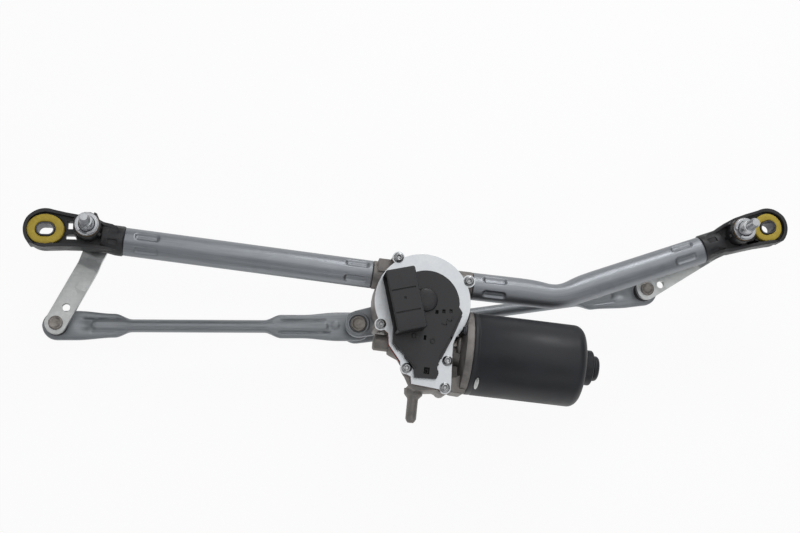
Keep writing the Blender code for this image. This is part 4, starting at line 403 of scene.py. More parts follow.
def spun(profile, steps=48, closed=False):
    shape = bmesh.new()
    verts = [shape.verts.new((radius, 0.0, height)) for radius, height in profile]
    edges = [shape.edges.new(pair) for pair in zip(verts, verts[1:])]
    if closed:
        edges.append(shape.edges.new((verts[-1], verts[0])))
    bmesh.ops.spin(shape, geom=verts + edges, cent=(0, 0, 0), axis=(0, 0, 1), angle=2.0 * math.pi,
                   steps=steps, use_merge=True)
    bmesh.ops.remove_doubles(shape, verts=shape.verts, dist=SAME_PLACE)
    return shape


def raised(outline, bottom, top, holes=()):
    shape = bmesh.new()
    edges = []
    for loop in (outline, *holes):
        verts = [shape.verts.new((x, y, bottom)) for x, y in loop]
        edges += [shape.edges.new((verts[i - 1], verts[i])) for i in range(len(verts))]
    bmesh.ops.triangle_fill(shape, use_beauty=True, use_dissolve=False, edges=edges, normal=(0, 0, 1))
    result = bmesh.ops.extrude_face_region(shape, geom=list(shape.faces), use_keep_orig=True)
    lifted = [item for item in result["geom"] if isinstance(item, bmesh.types.BMVert)]
    bmesh.ops.translate(shape, verts=lifted, vec=(0, 0, top - bottom))
    bmesh.ops.recalc_face_normals(shape, faces=shape.faces)
    bmesh.ops.dissolve_limit(shape, angle_limit=FLAT_ANGLE, verts=shape.verts, edges=shape.edges)
    return shape


def on_circle(centre, radius, degrees):
    angle = math.radians(degrees)
    return centre[0] + radius * math.cos(angle), centre[1] + radius * math.sin(angle)


def arc(centre, radius, start, end, step=5.0):
    count = max(2, round(abs(end - start) / step))
    return [on_circle(centre, radius, start + (end - start) * i / count) for i in range(count + 1)]


def circle(centre, radius, step):
    return arc(centre, radius, 0.0, 360.0, step)[:-1]


def square(centre, half_x, half_y):
    signs = ((-1, -1), (1, -1), (1, 1), (-1, 1))
    return [(centre[0] + x * half_x, centre[1] + y * half_y) for x, y in signs]


def placed(shape, matrix):
    bmesh.ops.transform(shape, matrix=matrix, verts=shape.verts)
    return shape


def joined(shapes):
    """Several shapes in one bmesh, each keeping its place."""
    whole = bmesh.new()
    for shape in shapes:
        part = bpy.data.meshes.new("part")
        shape.to_mesh(part)
        shape.free()
        whole.from_mesh(part)
        bpy.data.meshes.remove(part)
    return whole


def cut(shape, point, normal):
    """Cut all faces along a plane, so that the points on it can move."""
    every = [*shape.verts, *shape.edges, *shape.faces]
    bmesh.ops.bisect_plane(shape, geom=every, plane_co=point, plane_no=normal)


def copy_of_solid(node, edge, edge_steps=2, reshape=None):
    """A merged copy of a solid, whose flat faces are joined so that its edges can be softened."""
    shape = bmesh.new()
    shape.from_mesh(nodes[node].data)
    bmesh.ops.remove_doubles(shape, verts=shape.verts, dist=SAME_PLACE_ON_SOLID)
    bmesh.ops.dissolve_limit(shape, angle_limit=FLAT_ANGLE_ON_SOLID, verts=shape.verts, edges=shape.edges)
    if reshape:
        reshape(shape)
    replace_solid(f"{node}_dressed", shape, node, edge=edge, edge_steps=edge_steps)


def turned_piece(name, node, profile, matrix, closed=False):
    replace_solid(name, placed(spun(profile, 64, closed), matrix), node, edge=0.0, keep_smooth=38.0)


def smooth_share(low, high, value):
    share = min(1.0, max(0.0, (value - low) / (high - low)))
    return share * share * (3.0 - 2.0 * share)

# %% [markdown]
# Long pieces are made from one ring of points that is extruded again and again. Each point keeps its angle
# round the ring in a layer, which the extrusion copies, so every new ring can be put in place from its row
# and that angle alone. A curve with a bevel would be quicker for a plain tube, but its wall can't be
# pressed in.

# %% Rings of points
RING_SIDES = 96


def swept(rows, point_at, ends="open"):
    """Extrude a ring once a row. point_at(row, angle) gives a point's place and where it lies on the piece."""
    shape = bmesh.new()
    along = shape.verts.layers.float_vector.new("along_piece")
    turn = shape.verts.layers.float.new("turn")
    ring = bmesh.ops.create_circle(shape, cap_ends=False, segments=RING_SIDES, radius=1.0)["verts"]
    for vert in ring:
        vert[turn] = math.atan2(vert.co.y, vert.co.x)
    first = edges = list(shape.edges)
    for count, row in enumerate(rows):
        if count:
            new = bmesh.ops.extrude_edge_only(shape, edges=edges)["geom"]
            ring = [item for item in new if isinstance(item, bmesh.types.BMVert)]
            held = set(ring)
            edges = [item for item in new
                     if isinstance(item, bmesh.types.BMEdge) and held.issuperset(item.verts)]
        for vert in ring:
            vert.co, vert[along] = point_at(row, vert[turn])
    if ends == "joined":
        bmesh.ops.bridge_loops(shape, edges=first + edges)
    if ends == "capped":
        bmesh.ops.holes_fill(shape, edges=first + edges, sides=0)
    return shape

# %% [markdown]
# ## Frame tubes
# The frame is two galvanised steel tubes, crimped on plastic and aluminium spigots. A press leaves four
# rounded hollows near each end, and bending the right tube leaves a shallow dent on the inner side of its
# bend. An attribute keeps how far along and round the tube a point is, so the drawn lines follow the bend.

# %% Tube routes
LEFT_MOUTH = Vector((0.0274, -0.0083, 0.0))
RIGHT_MOUTH = Vector((-0.0308, -0.0138, 0.0))
LEFT_COLLAR = Vector((-0.0364, 0.0252, 0.0))
RIGHT_COLLAR = Vector((0.0441, 0.0175, 0.0))
BEND_CORNER = Vector((0.1155, 0.0109, 0.0))
BEND_RADIUS = 0.060


def straight_route(first, last):
    """A straight route: its length, and a function for the place and the direction at a distance along it."""
    direction = (last - first).normalized()
    return (last - first).length, lambda distance: (first + direction * distance, direction)


def bent_route(first, corner, last):
    """A route with one round bend: its length, the same kind of function, and where the bend's middle is."""
    arrive = (corner - first).normalized()
    leave = (last - corner).normalized()
    turn = arrive.angle(leave)
    reach = BEND_RADIUS * math.tan(turn / 2.0)
    start = corner - arrive * reach
    middle = corner + (leave - arrive).normalized() * (BEND_RADIUS / math.cos(turn / 2.0))
    sense = math.copysign(1.0, arrive.cross(leave).z)
    before = (start - first).length
    bend = BEND_RADIUS * turn
    total = before + bend + (last - corner).length - reach

    def at(distance):
        if distance <= before:
            return first + arrive * distance, arrive
        if distance >= before + bend:
            return last - leave * (total - distance), leave
        rotation = Matrix.Rotation(sense * (distance - before) / BEND_RADIUS, 3, "Z")
        return middle + rotation @ (start - middle), rotation @ arrive
    return total, at, before + bend / 2.0


left_length, left_at = straight_route(LEFT_PIVOT + LEFT_MOUTH, SHAFT_AT + LEFT_COLLAR)
right_length, right_at, bend_at = bent_route(
    SHAFT_AT + RIGHT_COLLAR, SHAFT_AT + BEND_CORNER, RIGHT_PIVOT + RIGHT_MOUTH)
print("tube lengths in mm:", round(1000 * left_length, 1), round(1000 * right_length, 1))

# %% [markdown]
# The hollows are a function of the place on the tube, so one sweep makes the wall with its crimps and its
# dent. Cutting them from a finished tube is another way, but the sheet would not bend inwards round them.

# %% Extrude the tubes
TUBE_RADIUS = 0.0110
TUBE_WALL = 0.0015
RING_STEP = 0.0008
BEND_DENT = 0.0026
BEND_DENT_LENGTH = 0.015
BEND_DENT_SIDE = (0.1, 1.0)
CRIMP_CENTRE = 0.0175
LEFT_CASTING_CRIMP_CENTRE = 0.0125
CRIMP_HALF_LENGTH = 0.0095
CRIMP_HALF_WIDTH = 0.0031
CRIMP_CORNER = 0.0026
CRIMP_DEPTH = 0.0019
CRIMP_WALL = (-0.0014, 0.0003)


def crimp_share(from_middle, angle, pair):
    """How deep in a hollow a point lies, from 0 outside to 1 on its floor. Each hollow has its opposite."""
    deepest = 0.0
    for middle in (*pair, pair[0] + 180.0, pair[1] + 180.0):
        round_way = TUBE_RADIUS * math.radians(abs((angle - middle + 180.0) % 360.0 - 180.0))
        x = abs(from_middle) - (CRIMP_HALF_LENGTH - CRIMP_CORNER)
        y = round_way - (CRIMP_HALF_WIDTH - CRIMP_CORNER)
        outside = math.hypot(max(x, 0.0), max(y, 0.0)) + min(max(x, y), 0.0) - CRIMP_CORNER
        deepest = max(deepest, 1.0 - smooth_share(*CRIMP_WALL, outside))
    return deepest


def drawn_tube(side, total, route_at, first_crimp, last_crimp, dent_at=None):
    """A tube along a route. A crimp is its distance from the tube's end and the angles of its hollows."""
    def point_at(distance, angle):
        point, direction = route_at(distance)
        degrees = math.degrees(angle)
        hollow = max(crimp_share(distance - first_crimp[0], degrees, first_crimp[1]),
                     crimp_share(total - distance - last_crimp[0], degrees, last_crimp[1]))
        reach = TUBE_RADIUS - CRIMP_DEPTH * hollow
        across, up = reach * math.sin(angle), reach * math.cos(angle)
        if dent_at is not None:
            near_bend = math.exp(-((distance - dent_at) / BEND_DENT_LENGTH) ** 2)
            across -= BEND_DENT * near_bend * smooth_share(*BEND_DENT_SIDE, across / TUBE_RADIUS)
        sideways = Vector((-direction.y, direction.x, 0.0))
        return point + sideways * across + Vector((0.0, 0.0, up)), (distance, across, up)

    count = round(total / RING_STEP)
    shape = swept([total * i / count for i in range(count + 1)], point_at)
    piece = finish_piece(f"{side}_frame_tube", shape, f"{side}_tube", edge=0.0, keep_smooth=50.0)
    wall = piece.modifiers.new("wall", "SOLIDIFY")
    wall.thickness = TUBE_WALL
    wall.offset = -1.0
    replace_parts(piece, f"{side}_tube")


drawn_tube("left", left_length, left_at,
           (CRIMP_CENTRE, (19.0, -42.0)), (LEFT_CASTING_CRIMP_CENTRE, (31.0, -39.0)))
drawn_tube("right", right_length, right_at,
           (CRIMP_CENTRE, (26.0, -38.0)), (CRIMP_CENTRE, (38.0, -23.0)), bend_at)

# %% [markdown]
# ## Rods
# Each rod is a thinner tube whose ends are pressed flat and wide in a die, with grooves and beads that
# stiffen the flat. The same ring of points is swept again. Here the row's distance along the rod sets how
# wide and how flat it is, and a height map of soft patches gives the stamping.

# %% Stamping of the rod ends
INNER_STAMPS = (
    (-0.0011, 0.0260, 0.0620, 0.0052, 0.0007, 0.0006), (-0.0011, 0.0220, 0.0640, -0.0050, 0.0007, 0.0006),
    (0.0011, 0.0240, 0.0800, 0.0001, 0.0030, 0.0016), (0.0008, 0.0150, 0.0210, 0.0008, 0.0028, 0.0016),
)
OUTER_STAMPS = (
    (0.0012, 0.0270, 0.0700, 0.0, 0.0034, 0.0014), (-0.0011, 0.0190, 0.0500, 0.0056, 0.0005, 0.0006),
    (-0.0006, 0.0260, 0.0440, -0.0058, 0.0005, 0.0006),
)
DISH_DEPTH = 0.0016
DISH_AT = 0.0215
DISH_LENGTH = 0.0055
DISH_HALF_WIDTH = 0.0042


def stamped(along, across, stamps):
    """The height from patches, each with its rise, start, end, middle, half width and soft edge."""
    height = 0.0
    for rise, low, high, middle, half, soft in stamps:
        past = max(low + half - along, along - (high - half), 0.0)
        height += rise * (1.0 - smooth_share(-soft, soft, math.hypot(past, across - middle) - half))
    return height


def stamping(along, across, length):
    """The height of the stamped shape above both flat ends. Across counts up the picture."""
    back = length - along
    dish = math.exp(-((back - DISH_AT) / DISH_LENGTH) ** 2 - (across / DISH_HALF_WIDTH) ** 2)
    return stamped(along, across, INNER_STAMPS) + stamped(back, across, OUTER_STAMPS) - DISH_DEPTH * dish

# %% [markdown]
# Both rods hang on one pin of the crank, one below the other, so each has its own height at that end. Its
# middle part rises or sinks evenly to the height of the arm's stud.

# %% Press the rods
ROD_RADIUS = 0.0052
ROD_END_HALF_WIDTH = 0.0118
ROD_END_HALF_HEIGHT = 0.0030
ROD_NECK_HALF_WIDTH = 0.0096
ROD_INNER_END = 0.0620
ROD_OUTER_END = 0.0450
ROD_WIDE_LENGTH = 0.0150
ROD_TAPER = 0.0140
ROD_STEP = 0.0010
ROD_RISE_SHARE = 0.55
ROD_SQUARENESS = 0.6
ROD_TOP = (0.2, 0.7)
UPPER_BALL = -0.0460
LOWER_BALL = -0.0610
OUTER_BALL = -0.0413
LEFT_ARM_LENGTH = 0.0740
LEFT_ARM_PARK = math.radians(-110.49)
RIGHT_ARM_LENGTH = 0.08035
RIGHT_ARM_PARK = math.radians(-148.49)


def pressed_rod(side, far_point, inner_height):
    """A rod from the crank's pin to an arm's stud, rising or sinking in its round middle part."""
    reach = (far_point - CRANK_PIN).to_2d()
    length = reach.length
    place = stand_at(Vector((CRANK_PIN.x, CRANK_PIN.y, MIDDLE_HEIGHT)), math.atan2(reach.y, reach.x))
    flat_again = length - ROD_OUTER_END
    rise_start = ROD_INNER_END * ROD_RISE_SHARE
    rise_length = length - (ROD_OUTER_END + ROD_INNER_END) * ROD_RISE_SHARE
    up_the_picture = math.copysign(1.0, reach.x)

    def point_at(along, angle):
        flat = max(1.0 - smooth_share(ROD_INNER_END, ROD_INNER_END + ROD_TAPER, along),
                   smooth_share(flat_again - ROD_TAPER, flat_again, along))
        past_end = max(-along, along - length, 0.0)
        narrowed = smooth_share(ROD_WIDE_LENGTH, ROD_OUTER_END, min(along, length - along))
        wide = ROD_END_HALF_WIDTH + (ROD_NECK_HALF_WIDTH - ROD_END_HALF_WIDTH) * narrowed
        width = math.sqrt(max(1e-8, wide ** 2 - past_end ** 2))
        across = math.sin(angle) * (ROD_RADIUS + (width - ROD_RADIUS) * flat)
        half_height = ROD_RADIUS + (ROD_END_HALF_HEIGHT - ROD_RADIUS) * flat
        rounding = 1.0 - ROD_SQUARENESS * flat
        height = half_height * math.copysign(abs(math.cos(angle)) ** rounding, math.cos(angle))
        top = smooth_share(*ROD_TOP, math.cos(angle)) * flat
        risen = min(1.0, max(0.0, (along - rise_start) / rise_length))
        rise = inner_height + (OUTER_BALL - inner_height) * risen
        lifted = rise + height + top * stamping(along, across * up_the_picture, length)
        return place @ Vector((along, across, lifted)), (along, across, height)

    ends = [-ROD_END_HALF_WIDTH * math.cos(math.radians(a)) for a in (3, 10, 18, 26, 35, 45, 55, 66, 78)]
    count = round(length / ROD_STEP)
    rows = [*ends, *(length * i / count for i in range(count + 1)),
            *(length - past for past in reversed(ends))]
    shape = swept(rows, point_at, "capped")
    replace_solid(f"{side}_rod_pressed", shape, f"{side}_rod", edge=0.0, keep_smooth=60.0)
    print(side, "rod's length in mm:", round(1000 * length, 1))


def arm_end(pivot, length, angle):
    return pivot + Vector((length * math.cos(angle), length * math.sin(angle), 0.0))


pressed_rod("left", arm_end(LEFT_PIVOT, LEFT_ARM_LENGTH, LEFT_ARM_PARK), UPPER_BALL)
pressed_rod("right", arm_end(RIGHT_PIVOT, RIGHT_ARM_LENGTH, RIGHT_ARM_PARK), LOWER_BALL)

# %% [markdown]
# ## Motor can
# The can is deep drawn from sheet steel in a press, so all its corners are round, and its bearing sits in a
# stepped cup on the end. A profile of its real curves is spun in 96 steps. A shallow groove runs round it
# beside the flange, and a bright stake mark shows where the can is fixed.

# %% Motor can
CAN_RADIUS = 0.0325
CAN_START = 0.0431
CAN_END = 0.1334
CAN_CORNER = 0.0080
CAN_GROOVE = CAN_RADIUS - 0.0004
END_BOSS_RADIUS = 0.0140
END_BOSS_END = 0.1428
END_BOSS_ROUND = 0.0018
END_CAP_RADIUS = 0.0100
END_CAP_END = 0.1482
END_CAP_ROUND = 0.0030
STAKE_AT = 0.0490
STAKE_ANGLE = math.radians(142.0)
STAKE_STRETCH = (6.2, 1.6, 1.0)
STAKE_PROFILE = ((0.0, -0.0010), (0.0010, -0.0010), (0.0010, 0.0002), (0.0008, 0.0006), (0.0004, 0.0008),
                 (0.0, 0.00085))


def outer_corner(radius, height, size, step):
    """A round corner between a wall at a radius and an end at a height."""
    return arc((radius - size, height - size), size, 0.0, 90.0, step)


can_profile = [
    (CAN_RADIUS - 0.0018, CAN_START), (CAN_GROOVE, CAN_START), (CAN_RADIUS, CAN_START + 0.0004),
    (CAN_RADIUS, CAN_START + 0.0034), (CAN_GROOVE, CAN_START + 0.0038), (CAN_GROOVE, CAN_START + 0.0046),
    (CAN_RADIUS, CAN_START + 0.0050), *outer_corner(CAN_RADIUS, CAN_END, CAN_CORNER, 6.0),
    (END_BOSS_RADIUS + 0.0016, CAN_END), (END_BOSS_RADIUS + 0.0004, CAN_END + 0.0004),
    (END_BOSS_RADIUS, CAN_END + 0.0016), *outer_corner(END_BOSS_RADIUS, END_BOSS_END, END_BOSS_ROUND, 15.0),
    (END_CAP_RADIUS - 0.0006, END_BOSS_END), (END_CAP_RADIUS - 0.0010, END_BOSS_END + 0.0004),
    (END_CAP_RADIUS, END_BOSS_END + 0.0012), *outer_corner(END_CAP_RADIUS, END_CAP_END, END_CAP_ROUND, 10.0),
    (0.0, END_CAP_END),
]
can = placed(spun(can_profile, 96), motor_place)
replace_solid("motor_can_drawn", can, "motor_can", edge=0.0, keep_smooth=50.0)
stake = spun(STAKE_PROFILE, 32)
bmesh.ops.scale(stake, verts=stake.verts, vec=STAKE_STRETCH)
on_can = Matrix.Rotation(STAKE_ANGLE, 4, "Z") @ Matrix.Translation((CAN_RADIUS, 0.0, STAKE_AT))
outwards = Matrix.Rotation(math.pi / 2.0, 4, "Y") @ Matrix.Rotation(math.pi / 2.0, 4, "Z")
finish_piece("can_stake", placed(stake, motor_place @ on_can @ outwards), "motor_can", edge=0.0,
             finish=finishes["zinc_plate"])
print("can length in mm:", round(1000 * (END_CAP_END - CAN_START), 1))

# %% [markdown]
# ## Castings and housings
# The gear housing is a die casting and the two pivot housings are moulded plastic. Their solids already
# have the right form, so a merged copy of each gets round edges, as a die leaves them. Points of the pivot
# housings are moved a little, to the outline in the photograph. Their eyes get a finer rim, because facets
# show most there.

# %% Pivot housings
LEFT_EYE = Vector((-0.0328, -0.0015, 0.0))
RIGHT_EYE = Vector((0.0252, 0.0052, 0.0))
COLLAR_REACH = 0.0175
COLLAR_EDGE = (0.0112, 0.0130)
COLLAR_SLIM = 0.0014
MOUTH_PLAY = 0.0002
BARREL_CLEAR = 0.0122
RIM_DEPTH = (0.0030, 0.0055)
EYE_SIDE = (0.0040, 0.0160)
EYE_TOP = (0.0080, 0.0140)
EYE_TOP_DROP = 0.0006
EYE_RIM_WIDTH = 0.0026
EYE_RIM_PROUD = 0.0001
EYE_RIM_LOW = -0.0070
EYE_RIM_HIGH = 0.0096


def between(table, value):
    """A value read from a table of places and amounts, straight between its rows."""
    for (low, first), (high, second) in zip(table, table[1:]):
        if value <= high:
            return first + (second - first) * min(1.0, max(0.0, (value - low) / (high - low)))
    return table[-1][1]


def moulded_housing(side, pivot, eye, eye_radius, eye_turns, mouth, into_tube, rim_floor, lift):
    """A copy whose lower rim is raised, whose eye is a little flatter, and whose collar is slimmer."""
    along = into_tube.normalized()

    def mould(shape):
        for vert in shape.verts:
            local = vert.co - pivot
            from_mouth = (local - mouth).dot(along)
            if -COLLAR_REACH < from_mouth < MOUTH_PLAY:
                away = local - mouth - along * from_mouth
                vert.co -= away.normalized() * (COLLAR_SLIM * smooth_share(*COLLAR_EDGE, away.length))
            if local.to_2d().length < BARREL_CLEAR:
                continue
            depth = local.y - between(rim_floor, local.x)
            vert.co.y += between(lift, local.x) * (1.0 - smooth_share(*RIM_DEPTH, depth))
            if local.x * eye.x > 0.0:
                on_top = smooth_share(*EYE_SIDE, abs(local.x)) * smooth_share(*EYE_TOP, local.y - eye.y)
                vert.co.y -= EYE_TOP_DROP * on_top

    def reshape(shape):
        for station, _ in lift:
            cut(shape, pivot + Vector((station, 0, 0)), (1, 0, 0))
        mould(shape)

    copy_of_solid(f"{side}_pivot_housing", edge=0.0006, edge_steps=3, reshape=reshape)
    outer = arc(eye, eye_radius + EYE_RIM_PROUD, *eye_turns, 3.0)
    inner = arc(eye, eye_radius - EYE_RIM_WIDTH, *eye_turns, 3.0)
    rim = placed(raised(outer + inner[::-1], EYE_RIM_LOW, EYE_RIM_HIGH), stand_at(pivot))
    mould(rim)
    finish_piece(f"{side}_eye_rim", rim, f"{side}_pivot_housing", edge=0.0006, edge_steps=3)


moulded_housing(
    "left", LEFT_PIVOT, LEFT_EYE, 0.0168, (70.0, 295.0), LEFT_MOUTH, left_at(0.0)[1],
    rim_floor=((-0.0330, -0.0183), (0.0150, -0.0171)),
    lift=((-0.0500, 0.0018), (-0.0330, 0.0024), (-0.0180, 0.0034), (-0.0060, 0.0036), (0.0040, 0.0032),
          (0.0120, 0.0014), (0.0200, 0.0)))
moulded_housing(
    "right", RIGHT_PIVOT, RIGHT_EYE, 0.0165, (-95.0, 118.0), RIGHT_MOUTH, -right_at(right_length)[1],
    rim_floor=((-0.0190, -0.0208), (0.0, -0.0130), (0.0250, -0.0113)),
    lift=((-0.0300, 0.0004), (-0.0200, 0.0022), (-0.0130, 0.0030), (-0.0060, 0.0032), (0.0060, 0.0034),
          (0.0160, 0.0034), (0.0300, 0.0026), (0.0420, 0.0012)))

# %% [markdown]
# The casting's turned places, such as its flange, its peg and its collars, get a round skin that is just
# proud of the solid. The places of the cover's screws come first, since the casting's lobes, the cover and
# the screws all need them.

# %% Places on the gear housing
BOWL_CENTRE = (0.0018, 0.0006)
BOWL_RADIUS = 0.0378
BOWL_SCREWS = ((124.86, 0.0016), (30.62, 0.0026), (215.2, 0.0))
CASE_SCREWS = ((-0.0056, -0.0529), (0.0255, -0.0436), (0.0255, -0.0646))
LOBE_SOLID_RADIUS = 0.0054
LOBE_RADIUS = 0.0049
HOUSING_TOP = 0.0188
COVER_REACH = 0.0384
FLANGE_RADIUS = 0.0325
FLANGE_INNER_RADIUS = 0.0285
FLANGE_SOLID_START = 0.0356
FLANGE_START = 0.0369
FLANGE_END = 0.0428
FLANGE_BACK = 0.0012
FLANGE_CORE_RADIUS = 0.0200
PEG_AT = 0.0039
PEG_START = -0.0660
PEG_HEIGHT = 0.0020
PEG_RADIUS = 0.0042
PEG_LENGTH = 0.0265
PEG_SLIM = 0.875
PEG_ROOT = 0.0035
PEG_FREE = 0.0060
PEG_REACH = 0.0070
CASE_SHOULDER = -0.0205
CASE_SLIM = 0.0024
CASE_BAND = 0.0025
CASE_RADII = (0.0108, 0.0126)
TAIL_CASE_RADIUS = 0.0064
TAIL_CASE_START = -0.0325
COLLAR_RADIUS = 0.0112
COLLAR_LENGTH = 0.0130
SKIN = 0.00004
cover_screws = [on_circle(BOWL_CENTRE, BOWL_RADIUS + out, angle) for angle, out in BOWL_SCREWS]
cover_screws += CASE_SCREWS
print("cover screws in mm:", [(round(1000 * x, 1), round(1000 * y, 1)) for x, y in cover_screws])

# %% Gear housing
def collar_skin(point, direction):
    shape = spun([
        (COLLAR_RADIUS - 0.003, -COLLAR_LENGTH), (COLLAR_RADIUS + SKIN, -COLLAR_LENGTH),
        (COLLAR_RADIUS + SKIN, -0.0013), (COLLAR_RADIUS - 0.0002, -0.0006),
        (COLLAR_RADIUS - 0.0009, -0.0003), (COLLAR_RADIUS - 0.003, -0.0003)], 64, closed=True)
    return placed(shape, Matrix.Translation(point) @ direction.to_track_quat("Z", "Y").to_matrix().to_4x4())


def flange_skin():
    """A round band over the rim of the flange. It stops where the cover plate lies over it."""
    shape = spun([
        (FLANGE_INNER_RADIUS, FLANGE_END - 0.0001), (FLANGE_RADIUS - 0.0004, FLANGE_END - 0.0001),
        (FLANGE_RADIUS + SKIN, FLANGE_END - 0.0006), (FLANGE_RADIUS + SKIN, FLANGE_START + 0.0008),
        (FLANGE_RADIUS - 0.0003, FLANGE_START + 0.0002), (FLANGE_RADIUS - 0.0010, FLANGE_START - SKIN),
        (FLANGE_INNER_RADIUS, FLANGE_START - SKIN)], 144, closed=True)
    to_gear = gear_place.inverted() @ motor_place
    for vert in shape.verts:
        on_gear = to_gear @ vert.co
        across = on_gear.y - BOWL_CENTRE[1]
        if on_gear.z > HOUSING_TOP and abs(across) < COVER_REACH:
            vert.co.z = max(vert.co.z, BOWL_CENTRE[0] + math.sqrt(COVER_REACH ** 2 - across ** 2))
    return placed(shape, motor_place)


peg_skin = spun([
    (0.0, 0.0), (PEG_RADIUS + 0.0028, 0.0), (PEG_RADIUS + 0.0026, 0.0040), (PEG_RADIUS + 0.0012, 0.0062),
    (PEG_RADIUS + 0.0003, 0.0074), (PEG_RADIUS + SKIN, 0.0090), (PEG_RADIUS + SKIN, PEG_LENGTH - 0.0030),
    (PEG_RADIUS - 0.0008, PEG_LENGTH - 0.0012), (PEG_RADIUS - 0.0020, PEG_LENGTH), (0.0, PEG_LENGTH)])
tail_skin = spun([
    (0.0, TAIL_CASE_START), (TAIL_CASE_RADIUS - 0.0010, TAIL_CASE_START),
    (TAIL_CASE_RADIUS + SKIN, TAIL_CASE_START + 0.0010), (TAIL_CASE_RADIUS + SKIN, CASE_SHOULDER),
    (0.0, CASE_SHOULDER)])
peg_place = Matrix.Translation((PEG_AT, PEG_START, PEG_HEIGHT)) @ Matrix.Rotation(math.pi / 2.0, 4, "X")
left_end, left_direction = left_at(left_length)
right_end, right_direction = right_at(0.0)
round_parts = joined([
    flange_skin(), placed(peg_skin, gear_place @ peg_place), placed(tail_skin, motor_place),
    collar_skin(left_end, -left_direction), collar_skin(right_end, right_direction)])
finish_piece("casting_round_parts", round_parts, "gear_housing", edge=0.0, keep_smooth=40.0)
print("collars at:", [round(x, 4) for x in left_end], [round(x, 4) for x in right_end])

# %% [markdown]
# Between the cover and the motor's flange the casting has a deep pocket with a foot below and an oval knob
# in it. One window of the right pivot housing is closed by a web, as the photograph shows it.

# %% Pocket, knob and web
POCKET_TOP = 0.0086
FOOT_OUTLINE = ((0.0294, -0.0650), (0.0318, -0.0672), (0.0400, -0.0676), (0.0424, -0.0655), (0.0424, -0.0550),
                (0.0372, -0.0530), (0.0294, -0.0565))
KNOB_PROFILE = ((0.0, 0.0080), (0.0026, 0.0080), (0.0026, 0.0190), (0.0022, 0.0204), (0.0014, 0.0214),
                (0.0, 0.0217))
KNOB_STRETCH = (0.95, 2.5, 1.0)
KNOB_AT = (0.0345, -0.0300, 0.0)
pocket_floor = raised(square((0.0333, -0.0420), 0.0039, 0.0195), -0.0020, POCKET_TOP + 0.0004)
pocket_foot = raised(FOOT_OUTLINE, -0.0040, 0.0192)
knob = spun(KNOB_PROFILE, 32)
bmesh.ops.scale(knob, verts=knob.verts, vec=KNOB_STRETCH)
pocket = joined([pocket_floor, pocket_foot, placed(knob, Matrix.Translation(KNOB_AT))])
finish_piece("casting_pocket", placed(pocket, gear_place), "gear_housing", edge=0.0008, edge_steps=3)
web = raised(square((0.0128, -0.0078), 0.0052, 0.0026), -0.0030, 0.0050)
finish_piece("right_housing_web", placed(web, stand_at(RIGHT_PIVOT)), "right_pivot_housing", edge=0.0002)

# %% [markdown]
# The copy of the casting itself is moved point by point, to the sizes that the photograph shows: each test
# picks the points of one feature by where they lie, seen from the gear's axis or from the motor's.

# %% Mould the gear housing
MOTOR_WEB = ((0.0290, 0.0380), (-0.0366, -0.0304), (0.0256, 0.0266))
DRAFT = Vector((0.0052, 0.0016, 0.0))
DRAFT_DOWN = (-0.0300, -0.0420)
DRAFT_LEFT = (0.0020, -0.0040)
DRAFT_TOP = -0.0060
NEAR = 1e-4


def cast_details(shape):
    """Slimmer lobes and peg, a lower web, a drafted wall, a thinner flange and a drawn-in worm case."""
    to_gear, to_motor = gear_place.inverted(), motor_place.inverted()
    for vert in shape.verts:
        on_gear, on_motor = to_gear @ vert.co, to_motor @ vert.co
        radius = on_motor.to_2d().length
        for screw in cover_screws:
            out = on_gear.to_2d() - Vector(screw)
            if abs(out.length - LOBE_SOLID_RADIUS) < NEAR:
                vert.co = gear_place @ Vector((*(Vector(screw) + out.normalized() * LOBE_RADIUS), on_gear.z))
        if all(low < place < high for place, (low, high) in zip(on_gear, MOTOR_WEB)):
            vert.co = gear_place @ Vector((on_gear.x, on_gear.y, POCKET_TOP))
        drafted = smooth_share(*DRAFT_DOWN, on_gear.y) * smooth_share(*DRAFT_LEFT, on_gear.x)
        if drafted and on_gear.z < DRAFT_TOP and on_gear.y > PEG_START - PEG_ROOT:
            vert.co = gear_place @ (on_gear + DRAFT * drafted)
        on_flange = FLANGE_SOLID_START - NEAR < on_motor.z < FLANGE_SOLID_START + FLANGE_BACK
        if on_flange and radius > FLANGE_CORE_RADIUS:
            vert.co = gear_place @ (on_gear + Vector((FLANGE_START - FLANGE_SOLID_START, 0.0, 0.0)))
        if on_gear.y < PEG_START - PEG_FREE and abs(on_gear.x - PEG_AT) < PEG_REACH:
            slim_x, slim_z = PEG_SLIM * (on_gear.x - PEG_AT), PEG_SLIM * (on_gear.z - PEG_HEIGHT)
            vert.co = gear_place @ Vector((PEG_AT + slim_x, on_gear.y, PEG_HEIGHT + slim_z))
        on_case = CASE_SHOULDER - NEAR < on_motor.z < CASE_SHOULDER + CASE_BAND
        if on_case and CASE_RADII[0] < radius < CASE_RADII[1]:
            share = 1.0 - CASE_SLIM / radius
            vert.co = motor_place @ Vector((on_motor.x * share, on_motor.y * share, on_motor.z))


copy_of_solid("gear_housing", edge=0.0006, reshape=cast_details)

# %% [markdown]
# ## Cover plate, gasket and screws
# The cover is stamped from sheet aluminium. Its outline is the bowl of the housing with a lobe round each
# screw. The gasket is the same outline in red rubber, a little of which shows below the plate's left
# corner. Each outline is filled once and raised, and the Bevel modifier then rolls the edge over, as a
# stamping die does.

# %% Cover outline
BOWL_START = -41.0
LAST_LOBE_END = 308.0
GASKET_BOTTOM = 0.0191
GASKET_THICKNESS = 0.0006
GASKET_PROUD = 0.0005
COVER_BOTTOM = 0.0200
COVER_TOP = 0.0219
SCREW_HOLE_RADIUS = 0.0024


